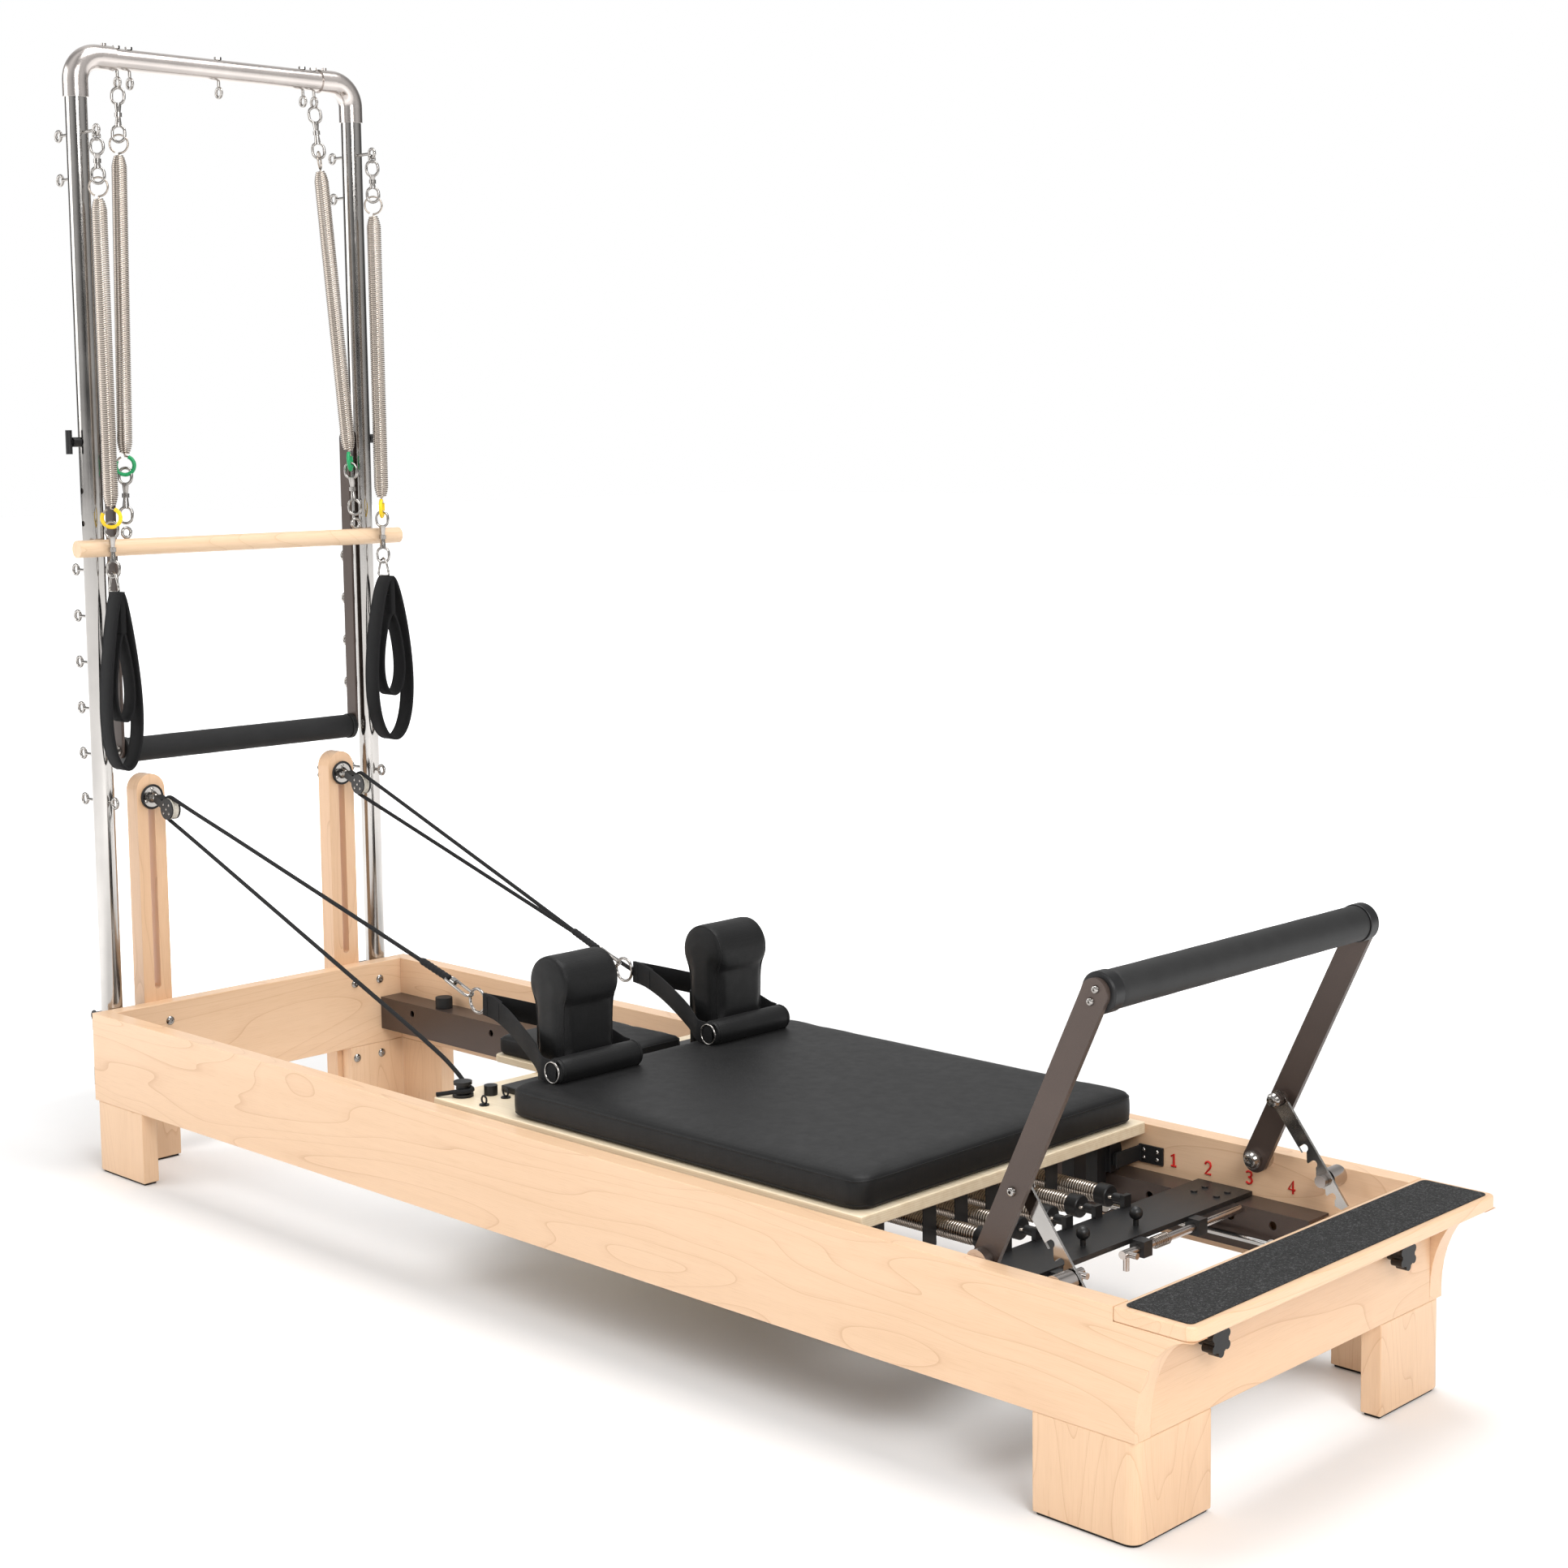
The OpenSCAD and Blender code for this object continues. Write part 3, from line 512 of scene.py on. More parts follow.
def lathe(name, profile, a, axis, mat, body, n, angle=30):
    return piece(name, lathe_data(profile, a, axis, n), mat, body, angle)


def scaled(profile, along, radial):
    return [(t * along, r * radial) for t, r in profile]


def repaint(me, mat):
    me.materials.clear()
    me.materials.append(mat)
    for p in me.polygons:
        p.material_index = 0


def own(node, mat, width, seg):
    """A copy of a CAD node with small rounded edges, which stands for it."""
    crease = math.radians(30)
    me = frame["nodes"][node].data.copy()
    bm = bmesh.new()
    bm.from_mesh(me)
    bmesh.ops.remove_doubles(bm, verts=bm.verts, dist=1e-6)
    bmesh.ops.dissolve_limit(bm, angle_limit=math.radians(0.5), verts=bm.verts, edges=bm.edges)
    sharp = [e for e in bm.edges if len(e.link_faces) == 2 and e.calc_face_angle(0) > crease]
    bmesh.ops.bevel(bm, geom=sharp, offset=width, segments=seg, profile=0.5, affect="EDGES",
                    clamp_overlap=True)
    bm.to_mesh(me)
    bm.free()
    repaint(me, mat)
    o = link(bpy.data.objects.new("v_" + node, me))
    smooth(o, 50)
    w = o.modifiers.new("wn", "WEIGHTED_NORMAL")
    w.keep_sharp = True
    record = frame["record"]
    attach(o, [k for k, v in record["behaviour"]["bodies"].items() if node in v][0])
    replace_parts(o, node)


# ------------------------ camera and light

AZIMUTH, ELEVATION, ROLL = math.radians(44.49), math.radians(5.77), math.radians(-0.724)
CAMERA_AT = (2.984, -2.758, 1.358)
cam_d = bpy.data.cameras.new("camera")
cam = link(bpy.data.objects.new("camera", cam_d))
cam_d.lens = 58.08
cam_d.sensor_width = 36
cam_d.shift_y = -0.060
cam_d.clip_end = 200
ahead = Vector((-math.sin(AZIMUTH) * math.cos(ELEVATION), math.cos(AZIMUTH) * math.cos(ELEVATION),
                -math.sin(ELEVATION)))
level_right = Vector((math.cos(AZIMUTH), math.sin(AZIMUTH), 0))
level_up = level_right.cross(ahead)
right = math.cos(ROLL) * level_right + math.sin(ROLL) * level_up
above = -math.sin(ROLL) * level_right + math.cos(ROLL) * level_up
cam.matrix_world = Matrix([(right[i], above[i], -ahead[i], CAMERA_AT[i]) for i in range(3)] + [(0, 0, 0, 1)])
bpy.context.scene.camera = cam
bpy.context.scene.view_settings.view_transform = "Standard"
bpy.context.scene.view_settings.look = "None"

# the camera sees plain white, and the object reflects bright panels all round that fade at the horizon
PANELS = 3.0
world = bpy.data.worlds.new("studio")
world.use_nodes = True
wn, wl = world.node_tree.nodes, world.node_tree.links
back = wn["Background"]
wc = wn.new("ShaderNodeTexCoord")
sep = wn.new("ShaderNodeSeparateXYZ")
wl.new(wc.outputs["Generated"], sep.inputs["Vector"])
turn = maths(wn, wl, "ARCTAN2", sep.outputs["Y"], sep.outputs["X"])
swing = maths(wn, wl, "SINE", maths(wn, wl, "MULTIPLY", turn, PANELS))
panel = maths(wn, wl, "MULTIPLY", maths(wn, wl, "ADD", swing, 1.0), 0.5)
level = maths(wn, wl, "POWER", maths(wn, wl, "ABSOLUTE", sep.outputs["Z"]), 0.6)
studio = maths(wn, wl, "ADD", maths(wn, wl, "MULTIPLY", panel, 0.55), maths(wn, wl, "MULTIPLY", level, 0.45))
seen = wn.new("ShaderNodeLightPath")
wm = wn.new("ShaderNodeMix")
wm.data_type = "FLOAT"
wl.new(seen.outputs["Is Camera Ray"], wm.inputs[0])
wl.new(studio, wm.inputs[2])
wm.inputs[3].default_value = 1.0
wl.new(wm.outputs[0], back.inputs["Strength"])
back.inputs["Color"].default_value = (1.0, 1.0, 1.0, 1)
bpy.context.scene.world = world


def area(name, loc, target, size, power):
    d = bpy.data.lights.new(name, "AREA")
    d.energy = power
    d.size = size
    o = link(bpy.data.objects.new(name, d))
    o.location = loc
    o.rotation_euler = (Vector(target) - Vector(loc)).to_track_quat("-Z", "Y").to_euler()


area("key", (4.6, -2.2, 3.6), (0, 0, 0.6), 2.2, 170)
area("fill", (-3.4, -3.2, 2.6), (0, 0, 0.8), 2.6, 70)
area("top", (0.2, 0.6, 4.6), (0, 0, 0), 2.4, 110)

# ------------------------ ropes

SHEAVE_X, SHEAVE_Y, SHEAVE_Z = 67, 218, 675
ROPE_D = 0.0074
ROUTE = [(832, 166, 452), (800, 168, 462), (640, 179, 514), (450, 192, 575),
         (260, 205, 636), (150, 213, 671), (100, 216, 687)]
ROUTE += [(SHEAVE_X + 22 * math.cos(math.radians(t)), SHEAVE_Y, SHEAVE_Z + 22 * math.sin(math.radians(t)))
          for t in range(72, 253, 18)]
ROUTE += [(120, 221, 634), (250, 228, 590), (450, 239, 522), (650, 250, 454), (850, 261, 386),
          (940, 266, 353), (980, 268, 333), (998, 268, 320), (1012, 269, 317), (1024, 275, 317),
          (1028, 285, 317), (1024, 296, 317), (1012, 301, 316), (1000, 306, 313), (990, 312, 311),
          (984, 317, 310)]


def smooth_path(pts, step=0.006):
    """A smooth curve through the points, sampled evenly."""
    p = [Vector(q) for q in pts]
    out = []
    for i in range(len(p) - 1):
        p0, p1, p2, p3 = p[max(i - 1, 0)], p[i], p[i + 1], p[min(i + 2, len(p) - 1)]
        k = max(1, int((p2 - p1).length / step))
        m1 = (p2 - p0) * 0.5 * min(1.0, (p2 - p1).length / max(1e-6, (p2 - p0).length) * 2)
        m2 = (p3 - p1) * 0.5 * min(1.0, (p2 - p1).length / max(1e-6, (p3 - p1).length) * 2)
        for j in range(k):
            t = j / k
            h = (2 * t**3 - 3 * t**2 + 1, t**3 - 2 * t**2 + t, -2 * t**3 + 3 * t**2, t**3 - t**2)
            out.append(p1 * h[0] + m1 * h[1] + p2 * h[2] + m2 * h[3])
    return out + [p[-1]]


def rope_blend(s):
    """The frame at a rope's sheave and the carriage at its front end, with a point at each; piece() only
    bakes a piece given these in place.
    """
    return "frame", "carriage", P(150, s * SHEAVE_Y, 660), P(832, s * SHEAVE_Y, 660)


ropes = {}
for s, side in SIDES:
    pts = smooth_path([P(x, s * y, z) for x, y, z in ROUTE])
    o = tube("rope_" + side, pts, ROPE_D / 2, ROPE, rope_blend(s), 12)
    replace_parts(o, "ropes")
    ropes[side] = (o, pts)

# ------------------------ floor

WHITE_FROM = 1.7
me = bpy.data.meshes.new("floor")
me.from_pydata([(-40, -40, 0), (40, -40, 0), (40, 40, 0), (-40, 40, 0)], [], [(0, 1, 2, 3)])
floor = link(bpy.data.objects.new("floor", me))
fm, fn, fl, fb = tree("pale_floor", (0.90, 0.90, 0.90), 0.7, spec=0.2)
fb.inputs["Emission Color"].default_value = (1, 1, 1, 1)
fc = fn.new("ShaderNodeTexCoord")
away = fn.new("ShaderNodeVectorMath")
away.operation = "LENGTH"
fl.new(fc.outputs["Object"], away.inputs[0])
beyond = maths(fn, fl, "SUBTRACT", away.outputs["Value"], WHITE_FROM)
fl.new(maths(fn, fl, "MULTIPLY", beyond, 0.7, True), fb.inputs["Emission Strength"])
me.materials.append(fm)

# ------------------------ wood, tracks and other CAD shapes

for node, mat, width, seg in (
        ("side_rails", MAPLE_X, 0.002, 3), ("head_end_rail", MAPLE_Y, 0.0015, 2),
        ("foot_end_rail", MAPLE_Y, 0.0015, 2), ("legs", MAPLE_Z, 0.002, 2),
        ("standing_platform", MAPLE_Y, 0.003, 3), ("riser_posts", POST, 0.003, 3),
        ("carriage_deck", PLY, 0.0025, 3), ("headrest_board", PLY, 0.0025, 3),
        ("platform_grip", GRIT, 0.0006, 2), ("foot_pads", RUBBER, 0.0008, 2),
        ("tracks", BRONZE, 0.0008, 2), ("tower_brackets", BLACK_COAT, 0.0012, 2),
        ("spring_bar", BLACK_COAT, 0.0008, 2), ("footbar_arms", BRONZE, 0.0012, 2),
        ("push_bar_arms", BRONZE, 0.0012, 2), ("shoulder_plates", BLACK_COAT, 0.0015, 2),
        ("roller_blocks", PLASTIC, 0.0012, 2), ("cleats", PLASTIC, 0.001, 2),
        ("track_stops", RUBBER, 0.0015, 2)):
    own(node, mat, width, seg)
for node, mat, width, seg in (("riser_knob", PLASTIC, 0.0015, 3), ("platform_knob", PLASTIC, 0.0015, 3),
                              ("pulley_block", BLACK_COAT, 0.0008, 2), ("strut", CHROME, 0.0006, 2)):
    for s, side in SIDES:
        own("%s_%s" % (node, side), mat, width, seg)
for node, mat in (("guide_rods", CHROME_X), ("footbar_pivots", CHROME_Y), ("tower_uprights", CHROME),
                  ("tower_elbows", CHROME_Y), ("top_tube", CHROME_Y), ("tower_eyebolts", STEEL),
                  ("tee_pins", PLASTIC), ("pulley_carrier_near", STEEL), ("pulley_carrier_far", STEEL),
                  ("latch_near", CHROME_Y), ("latch_far", CHROME_Y), ("roll_bar", BEECH)):
    repaint(frame["nodes"][node].data, mat)

# bolt heads with round sockets
SOCKET_BOLT = [(0, 0.0085), (0.0012, 0.0085), (0.0034, 0.0068), (0.0044, 0.0050), (0.0044, 0.0030),
               (0.0022, 0.0028), (0.0022, 0)]
for s, side in SIDES:
    for y in (214, 275):
        for z in (112, 265):
            for x, d in ((32, 1), (2368, -1)):
                zz = 245 if (d < 0 and z > 200) else z
                o = lathe("bolt_%s_%d_%d_%d" % (side[0], x, y, z), SOCKET_BOLT, P(x, s * y, zz), (d, 0, 0),
                          STEEL, "frame", 24)
                if s < 0 and x == 32:
                    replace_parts(o, "frame_bolts")

# wheels
WHEEL_W = 0.024
HALF_WHEEL = [(0, 0.0055), (0, 0.013), (0.0015, 0.0135), (0.0015, 0.019), (0, 0.0195), (0, 0.0255),
              (0.0016, 0.0274), (0.0035, 0.0277)]
WHEEL = HALF_WHEEL + [(WHEEL_W - t, r) for t, r in reversed(HALF_WHEEL)]
for node, x in (("wheels_head", 1040), ("wheels_foot", 1850)):
    for s, side in SIDES:
        y = -312 if s < 0 else 288
        o = lathe("%s_%s" % (node, side[0]), WHEEL, P(x, y, 256), ACROSS, RUBBER, node, 48)
        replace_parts(o, node)

# sheaves, and the rivets of their blocks
HALF_SHEAVE = [(0.006, 0.0041), (0.006, 0.008), (0.0048, 0.0085), (0.0048, 0.015), (0.006, 0.0155),
               (0.006, 0.0192), (0.0052, 0.0200)]
GROOVE = [(0.0046 * math.sin(a), 0.022 - 0.0046 * math.cos(a))
          for a in [(-65 + 13 * i) * PI / 180 for i in range(11)]]
SHEAVE = scaled(HALF_SHEAVE, -1, 1) + GROOVE + HALF_SHEAVE[::-1]
RIVET = [(0, 0.0026), (0.0006, 0.0026), (0.0010, 0.0018), (0.0010, 0)]
for s, side in SIDES:
    o = lathe("sheave_wheel_" + side, SHEAVE, P(SHEAVE_X, s * SHEAVE_Y, SHEAVE_Z), ACROSS,
              PALE, "sheave_" + side, 40)
    for face in (-1, 1):
        for k, (dx, dz) in enumerate(((0, 0), (9, 8), (9, -8), (-9, 8), (-9, -8))):
            lathe("block_rivet_%s_%d_%d" % (side, face + 1, k), RIVET,
                  P(SHEAVE_X + dx, s * SHEAVE_Y + face * 9.5, SHEAVE_Z + dz), (0, face, 0),
                  STEEL, "block_" + side, 14)
    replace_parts(o, "sheave_" + side)


def roller(name, node, body, mat, cap_t):
    """A foam roller, from its CAD node's box, with an end cap cap_t thick on each end."""
    lo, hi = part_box(node)
    r = (hi.z - lo.z) / 2
    c = Vector(((lo.x + hi.x) / 2, 0, (lo.z + hi.z) / 2))
    half = hi.y
    foam_r, ripple, rows = r - 0.0016, 0.0001, 60
    prof = [(-half + cap_t, foam_r - 0.004), (-half + cap_t, foam_r - 0.001), (-half + cap_t + 0.002, foam_r)]
    for i in range(1, rows):
        y = -half + cap_t + 0.002 + (2 * half - 2 * cap_t - 0.004) * i / rows
        prof.append((y, foam_r - ripple + ripple * math.sin(i * 0.7)))
    prof += [(half - cap_t - 0.002, foam_r), (half - cap_t, foam_r - 0.001), (half - cap_t, foam_r - 0.004)]
    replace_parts(lathe(name, prof, c, ACROSS, mat, body, 48, 40), node)
    cap = [(0, r - 0.006), (0, r - 0.0008), (0.001, r), (cap_t - 0.003, r), (cap_t - 0.0008, r - 0.0022),
           (cap_t, r - 0.006), (cap_t, 0)]
    for s, side in SIDES:
        lathe("%s_cap_%s" % (name, side[0]), cap, c + Vector((0, s * (half - cap_t), 0)), (0, s, 0),
              PLASTIC, body, 40)


roller("footbar_foam", "footbar_roller", "footbar", FOAM, 0.022)
roller("push_bar_foam", "push_bar_roller", "push_bar", FOAM_BLACK, 0.012)

# ------------------------ springs

FACING, AVERTED = Vector((0.7, 0.7, 0)), Vector((0.7, -0.7, 0))
EYE_R = 0.017


def eye(end, d, side, r=EYE_R):
    """The path of a round hook past the end of a spring."""
    side = (side - d * side.dot(d)).normalized()
    return arc(end + d * (r + 0.005), r, side, d, -0.5 * PI, 1.36 * PI, 30)


def spring(name, a, b, body, wire=0.0019, sides=(FACING, FACING), r=EYE_R):
    """An extension spring between two points: close coils, necked ends and a round hook at each end."""
    a, b = Vector(a), Vector(b)
    d = (b - a).normalized()
    parts = [coil_data(a, b, 0.0135 - wire / 2, wire, wire * 2.04, taper=0.020)]
    for end, dd, side in ((a, -d, sides[0]), (b, d, sides[1])):
        parts.append(tube_data([end - dd * 0.004, end + dd * 0.003] + eye(end, dd, side, r), wire, 8))
    return piece(name, merge(parts), NICKEL, body, 60)


def snap(name, a, b, side, body):
    """A double-ended bolt snap: an oval hook at each end of a waisted shank."""
    a, b = Vector(a), Vector(b)
    d, length = (b - a).normalized(), (b - a).length
    k = min(0.36 * length, 0.030)
    m = 12
    shank = [a + d * (k - 0.002 + (length - 2 * k + 0.004) * i / m) for i in range(m + 1)]
    waist = [0.0044 + 0.0018 * abs(math.cos(PI * i / m)) ** 2 for i in range(m + 1)]
    collar = [a + d * (length * 0.5 - 0.004), a + d * (length * 0.5 + 0.004)]
    parts = [tube_data(long_ring(a, a + d * k, 0.0115, side), 0.0029, 8, True),
             tube_data(long_ring(b - d * k, b, 0.0115, side), 0.0029, 8, True),
             tube_data(shank, waist, 12), tube_data(collar, 0.0068, 12)]
    piece(name, merge(parts), STEEL, body, 50)


def sleeve(name, end, d, side, mat, body):
    """The coloured sleeve on a spring's hook."""
    tube(name, eye(end, d, side)[2:28], 0.0037, mat, body, 10)


CAP = [(0, 0.004), (0, 0.0150), (0.0015, 0.0165), (0.020, 0.0165), (0.0215, 0.0150), (0.0215, 0.004)]
SPRING_Z = 246
for i, y in enumerate((-136, -68, 0, 68, 136)):
    o = spring("carriage_spring_%d" % (i + 1), P(1440, y, SPRING_Z), P(1975, y, SPRING_Z),
               ("frame", "carriage", P(1990, y, SPRING_Z), P(1416, y, SPRING_Z)), wire=0.0022, r=0.006)
    lathe("spring_cap_%d" % (i + 1), CAP, P(1967, y, SPRING_Z), ALONG, PLASTIC, "frame", 32)
    tube("spring_pull_%d" % (i + 1), [P(1986 + 1.5 * k, y, SPRING_Z) for k in range(9)], 0.0042, STEEL,
         ("frame", "spring_bar", P(1986, y, SPRING_Z), P(1997, y, SPRING_Z)), 12)
    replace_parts(o, "carriage_springs")

for s, side in SIDES:
    top, low = P(-22, s * 218, 2004), P(18, s * 259, 1206)
    at = [top + (low - top) * t for t in (-0.006, 0.118, 0.15, 0.835, 0.868, 0.996)]
    blend = ("frame", "roll_bar", top, low)
    face = FACING if s < 0 else AVERTED
    o = spring("roll_spring_" + side, at[2], at[3], blend, sides=(face, face))
    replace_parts(o, "roll_springs")
    hoop("roll_eye_" + side, P(18, s * 259, 1192), 0.009, ACROSS, 0.0032, STEEL, "roll_bar", 10)
    snap("roll_snap_top_" + side, at[0], at[1], FACING, blend)
    snap("roll_snap_low_" + side, at[4], at[5], FACING, blend)
    sleeve("roll_sleeve_" + side, at[3], (low - top).normalized(), face, GREEN, blend)

ARM_X, ARM_Y = 44, 305
D_RING = ((0, 1121), (8, 1116), (14, 1100), (17, 1089), (14, 1085.5), (0, 1085), (-14, 1085.5),
          (-17, 1089), (-14, 1100), (-8, 1116))
for s, side in SIDES:
    body = "arm_spring_" + side
    y = s * ARM_Y
    face = FACING if s < 0 else AVERTED
    o = spring("arm_coil_" + side, P(ARM_X, y, 1797), P(ARM_X, y, 1243), body, sides=(FACING, face))
    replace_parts(o, body)
    hoop("arm_ring_" + side, P(ARM_X, y, 1909.5), 0.007, ACROSS, 0.002, STEEL, body, 8)
    snap("arm_snap_top_" + side, P(ARM_X, y, 1905), P(ARM_X, y, 1825), FACING, body)
    sleeve("arm_sleeve_" + side, P(ARM_X, y, 1243), Vector((0, 0, -1)), face, YELLOW, body)
    snap("arm_snap_low_" + side, P(ARM_X, y, 1214), P(ARM_X, y, 1112), FACING, body)
    tube("arm_dring_" + side, [P(ARM_X + q * s, y, z) for q, z in D_RING], 0.0024, STEEL, body, 8, True)

# ------------------------ webbing

def ribbon_data(path, side, width, thick, closed=False):
    """A flat strap of even width along a path; side is the strap's width direction."""
    p = [Vector(q) for q in path]
    n = len(p)
    sd = Vector(side).normalized()
    w, h, edge = width / 2, thick / 2, 0.0004
    section = [(-w + edge, -h), (w - edge, -h), (w, -h + edge), (w, h - edge),
               (w - edge, h), (-w + edge, h), (-w, h - edge), (-w, -h + edge)]
    verts, starts = [], [0.0]
    for i in range(n):
        a, b = (p[i - 1], p[(i + 1) % n]) if closed else (p[max(i - 1, 0)], p[min(i + 1, n - 1)])
        t = (b - a).normalized()
        s = (sd - t * sd.dot(t)).normalized()
        k = t.cross(s)
        verts += [p[i] + s * cw + k * ch for cw, ch in section]
        starts.append(starts[-1] + (p[(i + 1) % n] - p[i]).length)
    spans = list(zip(starts, starts[1:]))[:n if closed else n - 1]
    around = [-w, w, w, w, w, -w, -w, -w, -w]
    return verts, skin(n, len(section), closed), skin_uvs(spans, [around] * len(spans), closed)


def ribbon(name, path, side, width, thick, body):
    return piece(name, ribbon_data(path, side, width, thick), WEBBING, body, 50)


LOOP_X = 54


def egg(w, lean, h, zc, s, n=64):
    """A hand loop's outline, upright across the machine and wider at its foot, from the top round."""
    return [P(LOOP_X, s * (ARM_Y + (w - lean * math.sin(t)) * math.cos(t)), zc + h * math.sin(t))
            for t in [2 * PI * i / n + PI / 2 for i in range(n)]]


for s, side, w in ((-1, "near", 32), (1, "far", 44)):
    body = "arm_spring_" + side
    outer = egg(w - 3, 14, 163, 921, s)
    inner = egg(0.6 * w - 2.5, 8, 81.5, 929, s)
    web = merge([ribbon_data(outer, ALONG, 0.040, 0.0045, True),
                 ribbon_data(inner, ALONG, 0.036, 0.0040, True)])
    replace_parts(piece("hand_loop_web_" + side, web, WEBBING, body, 50), "hand_loop_" + side)
    neck = [P(LOOP_X, s * ARM_Y, 1086 - 76 * i / 12) for i in range(13)]
    ribbon("hand_loop_neck_" + side, neck, ALONG, 0.038, 0.010, body)
    for k, tag in ((-1, "a"), (1, "b")):
        row = [q + Vector((k * 0.0165, 0, 0)) for q in outer[6:59]]
        tube("hand_loop_seam_%s_%s" % (side, tag), row, 0.0026, THREAD, body, 6, flat=0.3)
    for k in range(3):
        stitch = [P(LOOP_X + 15 * q, s * (ARM_Y - 5.3), 1078 - k * 30) for q in (-1, -0.5, 0, 0.5, 1)]
        tube("loop_stitch_%s_%d" % (side, k), stitch, 0.0006, THREAD, body, 6)

# ------------------------ cushions

CLOTH_FRAMES = 20


def puff(o, voxel, pressure, cap, keep_low=None):
    """Inflates a closed mesh with a short cloth simulation, and caps how far it may move."""
    bpy.context.view_layer.objects.active = o
    for x in bpy.context.selected_objects:
        x.select_set(False)
    o.select_set(True)
    r = o.modifiers.new("remesh", "REMESH")
    r.mode = "VOXEL"
    r.voxel_size = voxel
    bpy.ops.object.modifier_apply(modifier=r.name)
    n = len(o.data.vertices)
    co0 = np.empty(n * 3)
    o.data.vertices.foreach_get("co", co0)
    co0 = co0.reshape(-1, 3)
    c = o.modifiers.new("cloth", "CLOTH")
    c.settings.quality = 4
    c.settings.mass = 0.3
    c.settings.tension_stiffness = 15
    c.settings.compression_stiffness = 15
    c.settings.bending_stiffness = 0.5
    c.settings.use_pressure = True
    c.settings.uniform_pressure_force = pressure
    c.settings.effector_weights.gravity = 0
    c.point_cache.frame_start = 1
    c.point_cache.frame_end = CLOTH_FRAMES
    scene = bpy.context.scene
    for f in range(1, CLOTH_FRAMES + 1):
        scene.frame_set(f)
    ev = o.evaluated_get(bpy.context.evaluated_depsgraph_get())
    co1 = np.empty(n * 3)
    ev.data.vertices.foreach_get("co", co1)
    co1 = co1.reshape(-1, 3)
    o.modifiers.remove(c)
    scene.frame_set(1)
    d = co1 - co0
    k = np.linalg.norm(d, axis=1)
    co = co0 + d * np.minimum(1.0, cap / np.maximum(k, 1e-9))[:, None]
    if keep_low is not None:
        co[:, 2] = np.maximum(co[:, 2], keep_low)
    o.data.vertices.foreach_set("co", co.reshape(-1))
    s = o.modifiers.new("soft", "SMOOTH")
    s.factor = 0.5
    s.iterations = 3
    bpy.ops.object.modifier_apply(modifier=s.name)
    s = o.modifiers.new("sub", "SUBSURF")
    s.levels = 1
    s.render_levels = 1
    bpy.ops.object.modifier_apply(modifier=s.name)
    smooth(o, 80)
    o.select_set(False)


def inset(outline, d):
    out = []
    n = len(outline)
    for i in range(n):
        a, b = Vector(outline[i - 1]), Vector(outline[(i + 1) % n])
        t = (b - a).normalized()
        out.append(Vector(outline[i]) + Vector((-t.y, t.x)) * d)
    return out


def boxed(outline, layers, to_world, crown=0.0):
    """A closed cushion from a flat outline, counter-clockwise in mm; layers are (inset, height) pairs."""
    fills = (0.86, 0.62, 0.34)
    cx = sum(q[0] for q in outline) / len(outline)
    cy = sum(q[1] for q in outline) / len(outline)
    first, last = inset(outline, layers[0][0]), inset(outline, layers[-1][0])
    rings = [[(cx + (q.x - cx) * k, cy + (q.y - cy) * k, layers[0][1]) for q in first]
             for k in reversed(fills)]
    rings += [[(q.x, q.y, z) for q in inset(outline, d)] for d, z in layers]
    for k in fills:
        z = layers[-1][1] + crown * (1 - k * k)
        rings.append([(cx + (q.x - cx) * k, cy + (q.y - cy) * k, z) for q in last])
    return [to_world(*v) for r in rings for v in r], skin(len(rings), len(outline)), None


def polar(cx, cy, r, degrees):
    return cx + r * math.cos(math.radians(degrees)), cy + r * math.sin(math.radians(degrees))


def between(a, b, n):
    """The line from a to b as n equal steps."""
    return [(a[0] + (b[0] - a[0]) * i / n, a[1] + (b[1] - a[1]) * i / n) for i in range(n + 1)]


def rounded(x0, y0, x1, y1, r, n, per):
    """A rectangle with round corners: n steps round each corner, and per steps along each side."""
    pts = []
    corners = [(x1 - r, y1 - r, 0), (x0 + r, y1 - r, 90), (x0 + r, y0 + r, 180), (x1 - r, y0 + r, 270)]
    for k, (cx, cy, a) in enumerate(corners):
        turned = [polar(cx, cy, r, a + 90 * i / n) for i in range(n + 1)]
        nx, ny, na = corners[(k + 1) % 4]
        pts += turned + between(turned[-1], polar(nx, ny, r, na), per)[1:-1]
    return pts


def seam(name, o, path, r, body):
    """A raised stitched seam that follows a cushion's own surface."""
    pts = []
    for q in path:
        _, near, _, _ = o.closest_point_on_mesh(o.matrix_world.inverted() @ Vector(q))
        pts.append(o.matrix_world @ near)
    m = len(pts)
    for _ in range(2):
        pts = [(pts[i - 1] + pts[i] * 2 + pts[(i + 1) % m]) / 4 for i in range(m)]
    tube(name, pts, r, VINYL_SIDE, body, 8, True)


def finish_cushion(o, node, body, voxel, pressure, cap, keep_low=None):
    puff(o, voxel, pressure, cap, keep_low)
    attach(o, body)
    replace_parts(o, node)


def metres(x, y, z):
    return Vector((x / 1000, y / 1000, z / 1000))


def cushion(name, node, body, corner, low, high, crown, voxel, cap):
    """A boxed cushion in its CAD node's box; corner is what rounded takes, and low and high are
    (inset, distance) pairs of its sides, measured from its underside and from its top."""
    lo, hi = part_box(node)
    under, height = lo.z * 1000, (hi.z - lo.z) * 1000
    top = under + height
    line = rounded(lo.x * 1000 + 2, lo.y * 1000 + 2, hi.x * 1000 - 2, hi.y * 1000 - 2, *corner)
    layers = [(d, under + z) for d, z in low] + [(0, under + height / 2)] + [(d, top - z) for d, z in high]
    o = piece(name, boxed(line, layers, metres, crown), VINYL, None, 80)
    finish_cushion(o, node, body, voxel, 3.0, cap, lo.z + 0.0002)
    return o, inset(line, 0), under, top


